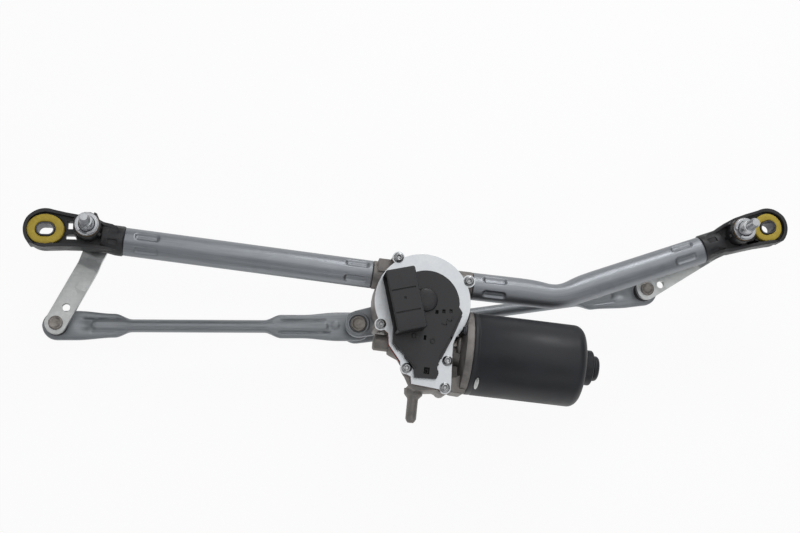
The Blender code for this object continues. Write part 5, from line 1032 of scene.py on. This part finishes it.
def crossing(centre, radius, other, other_radius):
    """The angles at which two circles cross, seen from the first centre and from the other."""
    apart = math.dist(centre, other)
    toward = math.atan2(other[1] - centre[1], other[0] - centre[0])
    spread = math.acos((radius ** 2 + apart ** 2 - other_radius ** 2) / (2.0 * radius * apart))
    back = math.acos((other_radius ** 2 + apart ** 2 - radius ** 2) / (2.0 * other_radius * apart))
    first = [math.degrees(toward - spread), math.degrees(toward + spread)]
    second = [math.degrees(toward + math.pi + back), math.degrees(toward + math.pi - back)]
    return first, second


def bowl_outline():
    points = []
    at = BOWL_START
    lobes = (cover_screws[1], cover_screws[0], cover_screws[2])
    for lobe in lobes:
        on_bowl, on_lobe = crossing(BOWL_CENTRE, BOWL_RADIUS, lobe, LOBE_RADIUS)
        points += arc(BOWL_CENTRE, BOWL_RADIUS, at, on_bowl[0] % 360.0, 3.0)[:-1]
        start = on_lobe[0]
        end = LAST_LOBE_END if lobe is lobes[-1] else on_lobe[1] + 360.0
        while end - start > 360.0:
            end -= 360.0
        points += arc(lobe, LOBE_RADIUS, start, end, 12.0)
        at = on_bowl[1]
    return points


def cover_outline(proud=0.0):
    return bowl_outline() + [
        (-0.0225 - proud, -0.0275), (-0.0212 - proud, -0.0362 - proud), (-0.0112 - proud, -0.0482 - proud),
        *arc(cover_screws[3], LOBE_RADIUS, 165.0, 275.0, 12.0),
        (-0.0018, -0.0590), (-0.0008, -0.0646), (0.0215, -0.0662),
        *arc(cover_screws[5], LOBE_RADIUS, 240.0, 345.0, 12.0),
        (0.0302, -0.0600), (0.0292, -0.0446), (0.0286, -0.0300),
    ]


screw_holes = [circle(at, SCREW_HOLE_RADIUS, 20.0) for at in cover_screws]
plug_window = [(-0.0190, -0.0080), (-0.0080, -0.0080), (-0.0080, 0.0080), (-0.0190, 0.0080)]
gear_opening = [*arc((0.0, 0.0), 0.0292, -50.0, 230.0, 6.0), (-0.0130, -0.0400), (0.0020, -0.0480),
                (0.0040, -0.0600), (0.0180, -0.0600), (0.0190, -0.0400)]
cover = raised(cover_outline(), COVER_BOTTOM, COVER_TOP, [*screw_holes, plug_window])
gasket = raised(cover_outline(GASKET_PROUD), GASKET_BOTTOM, GASKET_BOTTOM + GASKET_THICKNESS,
                [*screw_holes, gear_opening])
replace_solid("gear_cover_stamped", placed(cover, gear_place), "gear_cover", edge=0.0005, edge_steps=3)
replace_solid("cover_gasket_moulded", placed(gasket, gear_place), "cover_gasket", edge=0.00015)

# %% [markdown]
# The screws have a pan head with a rim and a six-lobed socket. The profile is spun, and then the socket's
# ring of points is pulled in and out six times round.

# %% Screws
SCREW_PROFILE = (
    (0.0021, 0.0), (0.0040, 0.0), (0.0040, 0.0006), (0.00385, 0.0009), (0.0034, 0.0011), (0.00325, 0.0017),
    (0.0030, 0.0022), (0.0026, 0.0025), (0.0022, 0.0026), (0.00195, 0.0026), (0.0018, 0.0024),
    (0.0017, 0.0011), (0.0012, 0.0008), (0.0, 0.0008),
)
SHANK_RADIUS = 0.0021
SHANK_TIP_RADIUS = 0.0017
HEAD_SEAT = 0.0222
SOCKET_RADII = (0.0010, 0.0019)
SOCKET_FLOOR = 0.0007
SOCKET_LOBES = 6
SOCKET_SWELL = 0.18
SCREW_TURN = math.radians(17.0)
MOTOR_SCREW_CIRCLE = 0.0275


def make_screw(node, matrix, shank, finish):
    tip = [(0.0, -shank), (SHANK_TIP_RADIUS, -shank), (SHANK_RADIUS, 0.0006 - shank)]
    shape = spun([*tip, *SCREW_PROFILE], 72)
    for vert in shape.verts:
        if SOCKET_RADII[0] < vert.co.to_2d().length < SOCKET_RADII[1] and vert.co.z > SOCKET_FLOOR:
            vert.co.xy *= 1.0 + SOCKET_SWELL * math.cos(SOCKET_LOBES * math.atan2(vert.co.y, vert.co.x))
    replace_solid(f"{node}_turned", placed(shape, matrix), node, edge=0.0, finish=finishes[finish],
                  keep_smooth=28.0)


for count, at in enumerate(cover_screws):
    seat = Matrix.Translation((*at, HEAD_SEAT)) @ Matrix.Rotation(SCREW_TURN * count, 4, "Z")
    make_screw(f"cover_screw_{count + 1}", gear_place @ seat, 0.0090, "screw_steel")
for count, angle in enumerate((60.0, -120.0)):
    at = on_circle((0.0, 0.0), MOTOR_SCREW_CIRCLE, angle)
    seat = Matrix.Translation((*at, FLANGE_START - 0.0003)) @ Matrix.Rotation(math.pi, 4, "X")
    make_screw(f"motor_screw_{count + 1}", motor_place @ seat, 0.0100, "dark_steel")

# %% [markdown]
# ## Connector cover
# A black moulding closes the gears and carries the plug's block. It is a flat cap with a round hub, ribs,
# posts and a few small square holes. The cap is two layers, so the holes have a floor.

# %% Cap and hub
CAP_BOTTOM = 0.0222
CAP_TOP = 0.0267
CAP_MIDDLE = CAP_TOP - 0.0020
CAP_CENTRE = (0.0042, -0.0015)
CAP_RADIUS = 0.0262
HUB_CENTRE = (0.0033, 0.0012)
SUNK = 0.0005
NOTCH_CENTRE = (0.0205, -0.0505)
NOTCH_RADIUS = 0.0030
SMALL_HOLES = (
    ((0.0130, -0.0072), 0.0012, 0.0015), ((0.0184, -0.0060), 0.0012, 0.0015),
    ((0.0239, -0.0053), 0.0012, 0.0015), ((0.0057, -0.0283), 0.0010, 0.0018),
    ((0.0095, -0.0538), 0.0022, 0.0026),
)
RIDGES = ((0.0179, -0.0155), (0.0213, -0.0160), (0.0218, -0.0124), (0.0250, -0.0126), (0.0262, -0.0094))
RIGHT_FLANK = ((0.0320, -0.0085), (0.0262, -0.0262), (0.0195, -0.0425))
LEFT_FLANK = ((-0.0165, -0.0352), (0.0012, -0.0520))
POST_PROFILE = ((0.0, -SUNK), (0.0022, -SUNK), (0.0021, 0.0007), (0.0015, 0.0008), (0.0013, 0.0001),
                (0.0, 0.0001))
POSTS_AT = ((-0.0028, -0.0279), (0.0118, -0.0300))
HUB_PROFILE = ((0.0, -0.0010), (0.0096, -0.0010), (0.0093, 0.0014), (0.0088, 0.0026), (0.0074, 0.0034),
               (0.0040, 0.0035), (0.0, 0.0035))


def bars_along(points, half, rise):
    """Low straight bars from point to point, moulded on the cap."""
    bars = []
    for first, second in zip(points, points[1:]):
        a, b = Vector(first), Vector(second)
        along = (b - a).normalized() * half
        side = Vector((-along.y, along.x))
        corners = (a - along - side, b + along - side, b + along + side, a - along + side)
        bars.append(raised(corners, CAP_TOP - SUNK, CAP_TOP + rise))
    return bars


def on_cap(profile, place, steps):
    """A turned form on the cap. Its profile's heights are counted from the cap's top."""
    shape = spun([(radius, CAP_TOP + height) for radius, height in profile], steps)
    return placed(shape, Matrix.Translation((*place, 0.0)))


cap_outline = [
    (0.0333, -0.0054), (0.0300, -0.0010), *arc(CAP_CENTRE, CAP_RADIUS, 4.0, 200.0, 4.0),
    (-0.0188, -0.0350), (-0.0146, -0.0398), (-0.0110, -0.0404), (-0.0084, -0.0424), (-0.0082, -0.0452),
    (-0.0030, -0.0500), (-0.0001, -0.0538), (0.0009, -0.0596), (0.0178, -0.0588), (0.0190, -0.0550),
    *arc(NOTCH_CENTRE, NOTCH_RADIUS, 230.0, 130.0, 12.0), (0.0182, -0.0470),
]
cap = joined([
    raised(cap_outline, CAP_BOTTOM, CAP_MIDDLE),
    raised(cap_outline, CAP_MIDDLE, CAP_TOP, [square(*hole) for hole in SMALL_HOLES]),
    on_cap(HUB_PROFILE, HUB_CENTRE, 64),
    *bars_along(RIDGES, 0.0004, 0.0007), *bars_along(RIGHT_FLANK, 0.0008, 0.0012),
    *bars_along(LEFT_FLANK, 0.0006, 0.0006), *(on_cap(POST_PROFILE, at, 24) for at in POSTS_AT)])
print("cap outline points:", len(cap_outline))

# %% [markdown]
# The plug's block starts as a box. Its upright corners and its top edges are rounded, its left side is set
# in and pushed inwards to make the socket, and the top is cut along the edges of two grooves and a dot that
# sink.

# %% Plug block
PLUG_CENTRE = (-0.0137, -0.0029)
PLUG_TURN = math.radians(17.5)
PLUG_HALF_WIDTH = 0.0116
PLUG_HALF_LENGTH = 0.0242
PLUG_BOTTOM = CAP_BOTTOM + 0.0010
PLUG_TOP = 0.0450
PLUG_CORNER = 0.0016
PLUG_TOP_ROUND = 0.0009
PLUG_SOCKET_DEPTH = 0.0150
PLUG_SOCKET_INSET = 0.0004
GROOVES = (0.0078, -0.0098)
GROOVE_HALF = 0.0006
GROOVE_DEPTH = 0.0012
GROOVE_ENDS = (-PLUG_HALF_WIDTH + 0.0016, PLUG_HALF_WIDTH - 0.0026)
DOT_AT = (-0.0009, 0.0007)
DOT_HALF = 0.0009


def moved_region(shape, faces, vector):
    """Extrude some faces and move the new ones, leaving no faces inside."""
    new = bmesh.ops.extrude_face_region(shape, geom=faces)["geom"]
    bmesh.ops.delete(shape, geom=[face for face in faces if face.is_valid], context="FACES")
    moved = [item for item in new if isinstance(item, bmesh.types.BMVert)]
    bmesh.ops.translate(shape, verts=moved, vec=vector)


def round_over(shape, edges, size, steps):
    bmesh.ops.bevel(shape, geom=edges, offset=size, segments=steps, profile=0.5, affect="EDGES", material=-1)


def sinks(face):
    """Whether a face of the top lies in a groove or in the dot."""
    middle = face.calc_center_median()
    across_groove = any(abs(middle.y - at) < GROOVE_HALF for at in GROOVES)
    in_groove = across_groove and GROOVE_ENDS[0] < middle.x < GROOVE_ENDS[1]
    in_dot = abs(middle.x - DOT_AT[0]) < DOT_HALF and abs(middle.y - DOT_AT[1]) < DOT_HALF
    return face.normal.z > 0.99 and middle.z > PLUG_TOP - NEAR and (in_groove or in_dot)


def plug_block():
    shape = bmesh.new()
    bmesh.ops.create_cube(shape, size=1.0)
    height = PLUG_TOP - PLUG_BOTTOM
    bmesh.ops.scale(shape, verts=shape.verts, vec=(2.0 * PLUG_HALF_WIDTH, 2.0 * PLUG_HALF_LENGTH, height))
    bmesh.ops.translate(shape, verts=shape.verts, vec=(0, 0, PLUG_TOP - height / 2.0))
    upright = [edge for edge in shape.edges if abs(edge.verts[0].co.z - edge.verts[1].co.z) > height / 2.0]
    round_over(shape, upright, PLUG_CORNER, 5)
    top = [edge for edge in shape.edges if all(vert.co.z > PLUG_TOP - NEAR for vert in edge.verts)]
    round_over(shape, top, PLUG_TOP_ROUND, 4)
    mouth = [face for face in shape.faces if face.normal.x < -0.99]
    bmesh.ops.inset_region(shape, faces=mouth, thickness=PLUG_SOCKET_INSET, depth=0.0)
    moved_region(shape, mouth, (PLUG_SOCKET_DEPTH, 0, 0))
    for y in [at + side * GROOVE_HALF for at in GROOVES for side in (-1, 1)]:
        cut(shape, (0, y, 0), (0, 1, 0))
    for x in (*GROOVE_ENDS, DOT_AT[0] - DOT_HALF, DOT_AT[0] + DOT_HALF):
        cut(shape, (x, 0, 0), (1, 0, 0))
    for y in (DOT_AT[1] - DOT_HALF, DOT_AT[1] + DOT_HALF):
        cut(shape, (0, y, 0), (0, 1, 0))
    moved_region(shape, [face for face in shape.faces if sinks(face)], (0, 0, -GROOVE_DEPTH))
    return shape


plug = placed(plug_block(), stand_at(Vector((*PLUG_CENTRE, 0.0)), PLUG_TURN))
replace_solid("connector_cover_moulded", placed(joined([cap, plug]), gear_place), "connector_cover")

# %% [markdown]
# ## Swinging arms
# The arms are stamped from zinc-plated sheet. Seen from above, straight edges run from the hub's circle
# round a knee to the circle at the end. The outline is filled and raised, cut across with planes where it
# bends down, and the points past the bend move down.

# %% Arm outline
ARM_THICKNESS = 0.0040
ARM_TOP = -0.0210
ARM_BOTTOM = ARM_TOP - ARM_THICKNESS
ARM_HUB = 0.0105
ARM_KNEE = 0.0088
ARM_END = 0.0088
ARM_FILLET = 0.0060


def side_edge(first, first_radius, second, second_radius, side):
    """The straight edge that touches two circles on one side: its two ends, and which way it faces."""
    along = (second - first).normalized()
    lean = (first_radius - second_radius) / (second - first).length
    faces = along * lean + Vector((-along.y, along.x)) * (side * math.sqrt(1.0 - lean ** 2))
    return first + faces * first_radius, second + faces * second_radius, faces


def knee_points(arriving, leaving, knee):
    """The corner between two edges: an arc round the knee where it bulges, a fillet where it is hollow."""
    start = math.atan2(arriving[2].y, arriving[2].x)
    turn = math.atan2(arriving[2].cross(leaving[2]), arriving[2].dot(leaving[2]))
    centre, reach = knee, ARM_KNEE
    if turn < 0.0:
        middle = (arriving[2] + leaving[2]).normalized()
        corner = knee + middle * (ARM_KNEE / math.cos(turn / 2.0))
        centre, reach = corner + middle * (ARM_FILLET / math.cos(turn / 2.0)), -ARM_FILLET
    return arc(centre, reach, math.degrees(start), math.degrees(start + turn), 4.0)


def arm_outline(length, bend):
    hub, knee, stud = Vector((0.0, 0.0)), Vector(bend), Vector((length, 0.0))
    edges = [side_edge(*circles, side) for side in (-1, 1)
             for circles in ((hub, ARM_HUB, knee, ARM_KNEE), (knee, ARM_KNEE, stud, ARM_END))]
    right_inner, right_outer, left_inner, left_outer = edges
    facing = [math.degrees(math.atan2(edge[2].y, edge[2].x)) for edge in edges]
    return [
        *knee_points(right_inner, right_outer, knee), *arc(stud, ARM_END, facing[1], facing[3], 5.0),
        *knee_points(left_outer, left_inner, knee), *arc(hub, ARM_HUB, facing[2], facing[0] + 360.0, 5.0),
    ]

# %% [markdown]
# Planes cut the plate across past its knee, so that it has points where it bends. A smooth step then moves
# them down, as a press sets the end of an arm lower than its hub.

# %% Stamp the arms
ARM_JOGGLE = 0.0060
ARM_JOGGLE_ENDS = (0.0060, 0.0160)
ARM_JOGGLE_CUTS = 9
HUB_HOLE_RADIUS = 0.0048
STUD_HOLE_RADIUS = 0.0039
GAUGE_HOLE_RADIUS = 0.0031


def stamped_arm(side, pivot, length, park, bend, gauge_at):
    """An arm with its joggle. The knee is given from the hub, and the gauge hole from the stud."""
    gauge = (length + gauge_at[0], gauge_at[1])
    holes = [circle(at, radius, 12.0) for at, radius in (
        ((0.0, 0.0), HUB_HOLE_RADIUS), ((length, 0.0), STUD_HOLE_RADIUS), (gauge, GAUGE_HOLE_RADIUS))]
    shape = raised(arm_outline(length, bend), ARM_BOTTOM, ARM_TOP, holes)
    knee = Vector((*bend, 0.0))
    away = (Vector((length, 0.0, 0.0)) - knee).normalized()
    first, last = ARM_JOGGLE_ENDS
    for step in range(ARM_JOGGLE_CUTS):
        cut(shape, knee + away * (first + (last - first) * step / (ARM_JOGGLE_CUTS - 1)), away)
    for vert in shape.verts:
        vert.co.z -= ARM_JOGGLE * smooth_share(first, last, (vert.co - knee).dot(away))
    replace_solid(f"{side}_arm_stamped", placed(shape, stand_at(pivot, park)), f"{side}_pivot_arm",
                  edge=0.0004, keep_smooth=40.0)


stamped_arm("left", LEFT_PIVOT, LEFT_ARM_LENGTH, LEFT_ARM_PARK, (0.0085, 0.0074), (-0.0143, 0.0028))
stamped_arm("right", RIGHT_PIVOT, RIGHT_ARM_LENGTH, RIGHT_ARM_PARK, (0.0160, 0.0), (-0.0119, 0.0028))

# %% [markdown]
# ## Crank, studs and sockets
# The crank is thick plate with a nut below, so a copy of each solid with softened edges will do. Round
# pieces are spun again, because their solids have few sides. A stud is one turned pin: its shank is riveted
# over above, and its ball sits in a plastic socket below.

# %% Profiles of studs and sockets
GAP = 0.0003
BALL_RADIUS = 0.0065
NECK_RADIUS = 0.0038
RIVET_SHANK = 0.0036
RIVET_HEAD_HEIGHT = 0.0014
FLANGE_THICKNESS = 0.0020
SOCKET_HALF_HEIGHT = 0.0060
SOCKET_CAVITY = 0.0070
SOCKET_MOUTH = 0.0048
SOCKET_DEPTH = 0.0086


def ball(height, low=False):
    """A ball's outline from the neck above it to the neck or the pole below it."""
    neck = math.degrees(math.asin(NECK_RADIUS / BALL_RADIUS))
    return arc((0.0, height), BALL_RADIUS, 90.0 - neck, -90.0 if low else neck - 90.0, 6.0)


def rivet_head(bottom, radius):
    """A riveted head from its middle to its foot: dished in the middle, with a lip round the dish."""
    top = bottom + RIVET_HEAD_HEIGHT
    return [(0.0, top - 0.0005), (radius - 0.0030, top - 0.0005), (radius - 0.0020, top - 0.0003),
            (radius - 0.0014, top), (radius - 0.0008, top), (radius - 0.0002, top - 0.0004),
            (radius, top - 0.0008), (radius, bottom)]


def flange_below(top):
    bottom = top - FLANGE_THICKNESS
    return [(0.0070, top), (0.0072, top - 0.0002), (0.0072, bottom + 0.0002), (0.0070, bottom),
            (NECK_RADIUS, bottom)]


def socket(height, open_below):
    """A socket round a ball, with a lip below. It is open below where the stud goes on to a second ball."""
    bottom = height - SOCKET_HALF_HEIGHT
    shut = math.degrees(math.asin((SOCKET_HALF_HEIGHT - 0.0002) / SOCKET_CAVITY))
    if open_below:
        cavity = arc((0.0, height), SOCKET_CAVITY, shut, -shut, 8.0)
        foot = [(SOCKET_MOUTH, bottom), (0.0074, bottom), (0.0078, bottom + 0.0004)]
    else:
        cavity = arc((0.0, height), SOCKET_CAVITY, shut, -90.0, 8.0)
        floor_at = height - SOCKET_DEPTH
        foot = [(0.0, floor_at), (0.0066, floor_at), (0.0078, floor_at + 0.0010)]
    lip = [(0.0078, height - 0.0049), (0.0103, height - 0.0049), (0.0106, height - 0.0046),
           (0.0106, height - 0.0036), (0.0103, height - 0.0033), (0.0088, height - 0.0033)]
    top = height + SOCKET_HALF_HEIGHT
    return [*cavity, *foot, *lip, (0.0086, height + 0.0030), (0.0080, top - 0.0004), (0.0076, top),
            (SOCKET_MOUTH, top)]

# %% [markdown]
# Each piece rides on the body that its solid is on, so it turns with the right joint. A gap of 0.3 mm
# between neighbours keeps two faces from lying in one plane. The crank's pressed cup is a small ring round
# the rivet.

# %% Round moving pieces
CRANK_TOP = -0.0295
CRANK_BOTTOM = CRANK_TOP - 0.0045
CUP_PROFILE = ((0.0066, -0.0005), (0.0068, 0.0004), (0.0076, 0.0010), (0.0086, 0.0010), (0.0094, 0.0004),
               (0.0097, -0.0005))
DOUBLE_RIVET_RADIUS = 0.0064
ARM_RIVET_RADIUS = 0.0056
OUTPUT_SHAFT_RADIUS = 0.0060
OUTPUT_SHAFT_TOP = 0.0125
OUTPUT_THREAD_RADIUS = 0.0048
OUTPUT_THREAD_BOTTOM = -0.0404
arm_end_top = ARM_TOP - ARM_JOGGLE
arm_end_bottom = ARM_BOTTOM - ARM_JOGGLE
pin_place = stand_at(Vector((CRANK_PIN.x, CRANK_PIN.y, MIDDLE_HEIGHT)))
copy_of_solid("motor_crank_arm", edge=0.0008, edge_steps=3)
cup = placed(spun(CUP_PROFILE, 64, closed=True), pin_place @ Matrix.Translation((0.0, 0.0, CRANK_TOP)))
finish_piece("crank_cup_pressed", cup, "motor_crank_arm", edge=0.0, keep_smooth=45.0)
copy_of_solid("crank_nut", edge=0.0004)
turned_piece("double_stud_turned", "double_ball_stud", [
    *rivet_head(CRANK_TOP + GAP, DOUBLE_RIVET_RADIUS), (RIVET_SHANK, CRANK_TOP + GAP),
    (RIVET_SHANK, CRANK_BOTTOM - GAP), *flange_below(CRANK_BOTTOM - GAP), *ball(UPPER_BALL),
    *ball(LOWER_BALL, low=True)], pin_place)
turned_piece("output_shaft_turned", "output_shaft", [
    (0.0, OUTPUT_THREAD_BOTTOM), (OUTPUT_THREAD_RADIUS - 0.0008, OUTPUT_THREAD_BOTTOM),
    (OUTPUT_THREAD_RADIUS, OUTPUT_THREAD_BOTTOM + 0.0008), (OUTPUT_THREAD_RADIUS, CRANK_TOP + GAP),
    (OUTPUT_SHAFT_RADIUS, CRANK_TOP + GAP), (OUTPUT_SHAFT_RADIUS, OUTPUT_SHAFT_TOP - 0.0010),
    (OUTPUT_SHAFT_RADIUS - 0.0010, OUTPUT_SHAFT_TOP), (0.0, OUTPUT_SHAFT_TOP)], stand_at(SHAFT_AT))
for side, pivot, length, park, inner in (
        ("left", LEFT_PIVOT, LEFT_ARM_LENGTH, LEFT_ARM_PARK, UPPER_BALL),
        ("right", RIGHT_PIVOT, RIGHT_ARM_LENGTH, RIGHT_ARM_PARK, LOWER_BALL)):
    on_arm = stand_at(pivot, park) @ Matrix.Translation((length, 0.0, 0.0))
    turned_piece(f"{side}_rivet_turned", f"{side}_arm_rivet", [
        (0.0, arm_end_bottom + GAP), (RIVET_SHANK, arm_end_bottom + GAP), (RIVET_SHANK, arm_end_top + GAP),
        *reversed(rivet_head(arm_end_top + GAP, ARM_RIVET_RADIUS))], on_arm)
    turned_piece(f"{side}_stud_turned", f"{side}_ball_stud", [
        (0.0, arm_end_bottom - GAP), *flange_below(arm_end_bottom - GAP), *ball(OUTER_BALL, low=True)],
        on_arm)
    turned_piece(f"{side}_outer_socket_moulded", f"{side}_rod_outer_socket", socket(OUTER_BALL, False),
                 on_arm)
    through = inner == UPPER_BALL
    turned_piece(f"{side}_inner_socket_moulded", f"{side}_rod_inner_socket", socket(inner, through),
                 pin_place, through)

# %% [markdown]
# ## Eyes
# Each eye holds a yellow rubber ring, and the ring holds a steel sleeve with a slot for the bolt. One loop
# of points is swept over the ring's lip, its groove and its upper bead, and closed on itself inside the
# slot. Rows on the oval are shares of its radius. Rows on the top are shares of the way from the slot to
# the oval.

# %% Rubber rings and sleeves
EYE_MIDDLE = 0.0010
GROMMET_HALF_HEIGHT = 0.0075
SLEEVE_HALF_HEIGHT = 0.0082
SLEEVE_WALL = 0.0012
GROOVE_LOW = -0.0018
GROOVE_HIGH = 0.0038
GROOVE_SHARE = 0.79
RING_TOP = EYE_MIDDLE + GROMMET_HALF_HEIGHT
RING_BOTTOM = EYE_MIDDLE - GROMMET_HALF_HEIGHT
OVAL_ROWS = (
    (0.965, RING_BOTTOM + 0.0002), (1.0, RING_BOTTOM + 0.0012), (1.0, GROOVE_LOW), (GROOVE_SHARE, GROOVE_LOW),
    (GROOVE_SHARE, GROOVE_HIGH), (1.0, GROOVE_HIGH), (1.0, RING_TOP - 0.0014), (0.995, RING_TOP - 0.0008),
    (0.98, RING_TOP - 0.0004), (0.94, RING_TOP - 0.0001),
)
SLOT_ROWS = (
    (0.50, RING_TOP), (0.10, RING_TOP - 0.0001), (0.03, RING_TOP - 0.0004), (0.0, RING_TOP - 0.0010),
    (0.0, RING_BOTTOM + 0.0008), (0.06, RING_BOTTOM), (0.90, RING_BOTTOM),
)


def slot_reach(half, angle):
    """How far a slot with round ends reaches in one direction from its middle."""
    c, s = abs(math.cos(angle)), abs(math.sin(angle))
    straight = half[0] - half[1]
    if s * straight <= half[1] * c or s < 1e-9:
        return straight * c + math.sqrt(max(0.0, half[1] ** 2 - (straight * s) ** 2))
    return half[1] / s


def slot_outline(half):
    reach = half[0] - half[1]
    return arc((reach, 0.0), half[1], -90.0, 90.0, 8.0) + arc((-reach, 0.0), half[1], 90.0, 270.0, 8.0)


def rubber_ring(side, place, half, slot_half):
    bore = [length + SLEEVE_WALL + GAP for length in slot_half]

    def point_at(row, angle):
        kind, share, height = row
        outer = half[0] * half[1] / math.hypot(half[1] * math.cos(angle), half[0] * math.sin(angle))
        hole = slot_reach(bore, angle)
        reach = outer * share if kind == "oval" else hole + (outer - hole) * share
        return Vector((reach * math.cos(angle), reach * math.sin(angle), height)), (0.0, 0.0, 0.0)

    rows = [("oval", *row) for row in OVAL_ROWS] + [("slot", *row) for row in SLOT_ROWS]
    ring = placed(swept(rows, point_at, "joined"), place)
    replace_solid(f"{side}_rubber_ring", ring, f"{side}_grommet", edge=0.0, keep_smooth=45.0)
    outer = slot_outline([length + SLEEVE_WALL for length in slot_half])
    sleeve = raised(outer, EYE_MIDDLE - SLEEVE_HALF_HEIGHT, EYE_MIDDLE + SLEEVE_HALF_HEIGHT,
                    [slot_outline(slot_half)])
    replace_solid(f"{side}_slot_sleeve", placed(sleeve, place), f"{side}_grommet_sleeve", edge=0.00025)


rubber_ring("left", stand_at(LEFT_PIVOT + LEFT_EYE), (0.0143, 0.0121), (0.0061, 0.0042))
rubber_ring("right", stand_at(RIGHT_PIVOT + RIGHT_EYE, math.radians(20.0)), (0.0120, 0.0118),
            (0.0056, 0.0042))

# %% [markdown]
# ## Wiper shafts
# Each shaft ends in a cone with fine splines, which the wiper arm bites on, and a thread for its nut. The
# body is spun. The thread is a small triangle spun with a rise at each step, which winds it up the core. A
# bronze bush, a steel washer and an open spring ring hold the shaft in its barrel.

# %% Shafts with splines and threads
SHAFT_RADIUS = 0.0060
SHAFT_HOLE_RADIUS = 0.0045
SHAFT_TIP = 0.0460
CONE_TOP = 0.0330
CONE_BOTTOM = 0.0260
CONE_TOP_RADIUS = 0.0048
SPLINES = 36
SPLINE_DEPTH = 0.035
THREAD_RADIUS = 0.0040
THREAD_DEPTH = 0.0006
THREAD_PITCH = 0.00125
THREAD_STEPS = 24
THREAD_FILL = 0.98
THREAD_CORE = THREAD_RADIUS - THREAD_DEPTH
THREAD_SUNK = THREAD_CORE - 0.0003
THREAD_LOW = CONE_TOP + 0.0008
THREAD_HIGH = SHAFT_TIP - 0.0004


def thread():
    """One turn's triangle, wound up the core, with both ends closed."""
    shape = bmesh.new()
    next_turn = THREAD_LOW + THREAD_PITCH * THREAD_FILL
    verts = [shape.verts.new(at) for at in (
        (THREAD_SUNK, 0, THREAD_LOW), (THREAD_CORE, 0, THREAD_LOW),
        (THREAD_RADIUS, 0, THREAD_LOW + THREAD_PITCH / 2.0),
        (THREAD_CORE, 0, next_turn), (THREAD_SUNK, 0, next_turn))]
    edges = [shape.edges.new((verts[i - 1], verts[i])) for i in range(len(verts))]
    turns = (THREAD_HIGH - THREAD_LOW) / THREAD_PITCH - 1.0
    steps = round(turns * THREAD_STEPS)
    bmesh.ops.spin(shape, geom=verts + edges, cent=(0, 0, 0), axis=(0, 0, 1), angle=2.0 * math.pi * turns,
                   dvec=(0, 0, THREAD_PITCH * turns / steps), steps=steps, use_merge=False)
    bmesh.ops.holes_fill(shape, edges=shape.edges, sides=0)
    return shape


def wiper_shaft(side, place):
    body = spun([
        (0.0, ARM_BOTTOM - 0.0017), (0.0058, ARM_BOTTOM - 0.0017), (0.0070, ARM_BOTTOM - 0.0010),
        (0.0072, ARM_BOTTOM - GAP), (SHAFT_HOLE_RADIUS, ARM_BOTTOM - GAP), (SHAFT_HOLE_RADIUS, ARM_TOP + GAP),
        (SHAFT_RADIUS, ARM_TOP + GAP), (SHAFT_RADIUS, CONE_BOTTOM), (CONE_TOP_RADIUS, CONE_TOP),
        (THREAD_CORE, CONE_TOP + 0.0003), (THREAD_CORE, SHAFT_TIP - 0.0007),
        (THREAD_CORE - 0.0007, SHAFT_TIP), (0.0, SHAFT_TIP)], 2 * SPLINES)
    for vert in body.verts:
        on_cone = CONE_BOTTOM - 1e-5 < vert.co.z < CONE_TOP + 1e-5
        outside = vert.co.to_2d().length > THREAD_CORE + 0.0004
        between_splines = round(math.atan2(vert.co.y, vert.co.x) / (math.pi / SPLINES)) % 2
        if on_cone and outside and between_splines:
            vert.co.xy *= 1.0 - SPLINE_DEPTH
    shape = placed(joined([body, thread()]), place)
    replace_solid(f"{side}_shaft_turned", shape, f"{side}_wiper_shaft", edge=0.0, keep_smooth=30.0)

# %% [markdown]
# The bush and the washer are closed profiles, so the spin makes a ring with a wall on every side. The
# spring ring is an open outline between two arcs, raised to its thickness.

# %% Bushes, washers and spring rings
SHAFT_BORE = 0.0062
BUSH_RADIUS = 0.0082
BUSH_LIP_RADIUS = 0.0094
BUSH_BOTTOM = -0.0200
LIP_BOTTOM = 0.0198
LIP_TOP = 0.0210
WASHER_RADIUS = 0.0092
WASHER_BOTTOM = 0.0213
WASHER_TOP = 0.0227
CLIP_RADII = (0.0063, 0.0084)
CLIP_ENDS = (25.0, 335.0)
CLIP_BOTTOM = 0.0230
CLIP_THICKNESS = 0.0010


def pivot_rings(side, pivot, park):
    place = stand_at(pivot)
    turned_piece(f"{side}_bush_turned", f"{side}_pivot_bush", [
        (SHAFT_BORE, BUSH_BOTTOM), (BUSH_RADIUS, BUSH_BOTTOM), (BUSH_RADIUS, LIP_BOTTOM),
        (BUSH_LIP_RADIUS, LIP_BOTTOM), (BUSH_LIP_RADIUS, LIP_TOP - 0.0003),
        (BUSH_LIP_RADIUS - 0.0003, LIP_TOP), (SHAFT_BORE, LIP_TOP)], place, closed=True)
    turned_piece(f"{side}_washer_turned", f"{side}_washer", [
        (SHAFT_BORE, WASHER_BOTTOM), (WASHER_RADIUS - 0.0002, WASHER_BOTTOM),
        (WASHER_RADIUS, WASHER_BOTTOM + 0.0002), (WASHER_RADIUS, WASHER_TOP - 0.0003),
        (WASHER_RADIUS - 0.0003, WASHER_TOP),
        (SHAFT_BORE + 0.0003, WASHER_TOP), (SHAFT_BORE, WASHER_TOP - 0.0002)], place, closed=True)
    inner, outer = CLIP_RADII
    outline = arc((0.0, 0.0), outer, *CLIP_ENDS, 5.0) + arc((0.0, 0.0), inner, *reversed(CLIP_ENDS), 5.0)
    clip = placed(raised(outline, CLIP_BOTTOM, CLIP_BOTTOM + CLIP_THICKNESS), stand_at(pivot, park))
    replace_solid(f"{side}_spring_ring", clip, f"{side}_retaining_clip", edge_steps=3)


for side, pivot, park in (("left", LEFT_PIVOT, LEFT_ARM_PARK), ("right", RIGHT_PIVOT, RIGHT_ARM_PARK)):
    wiper_shaft(side, stand_at(pivot, park))
    pivot_rings(side, pivot, park)
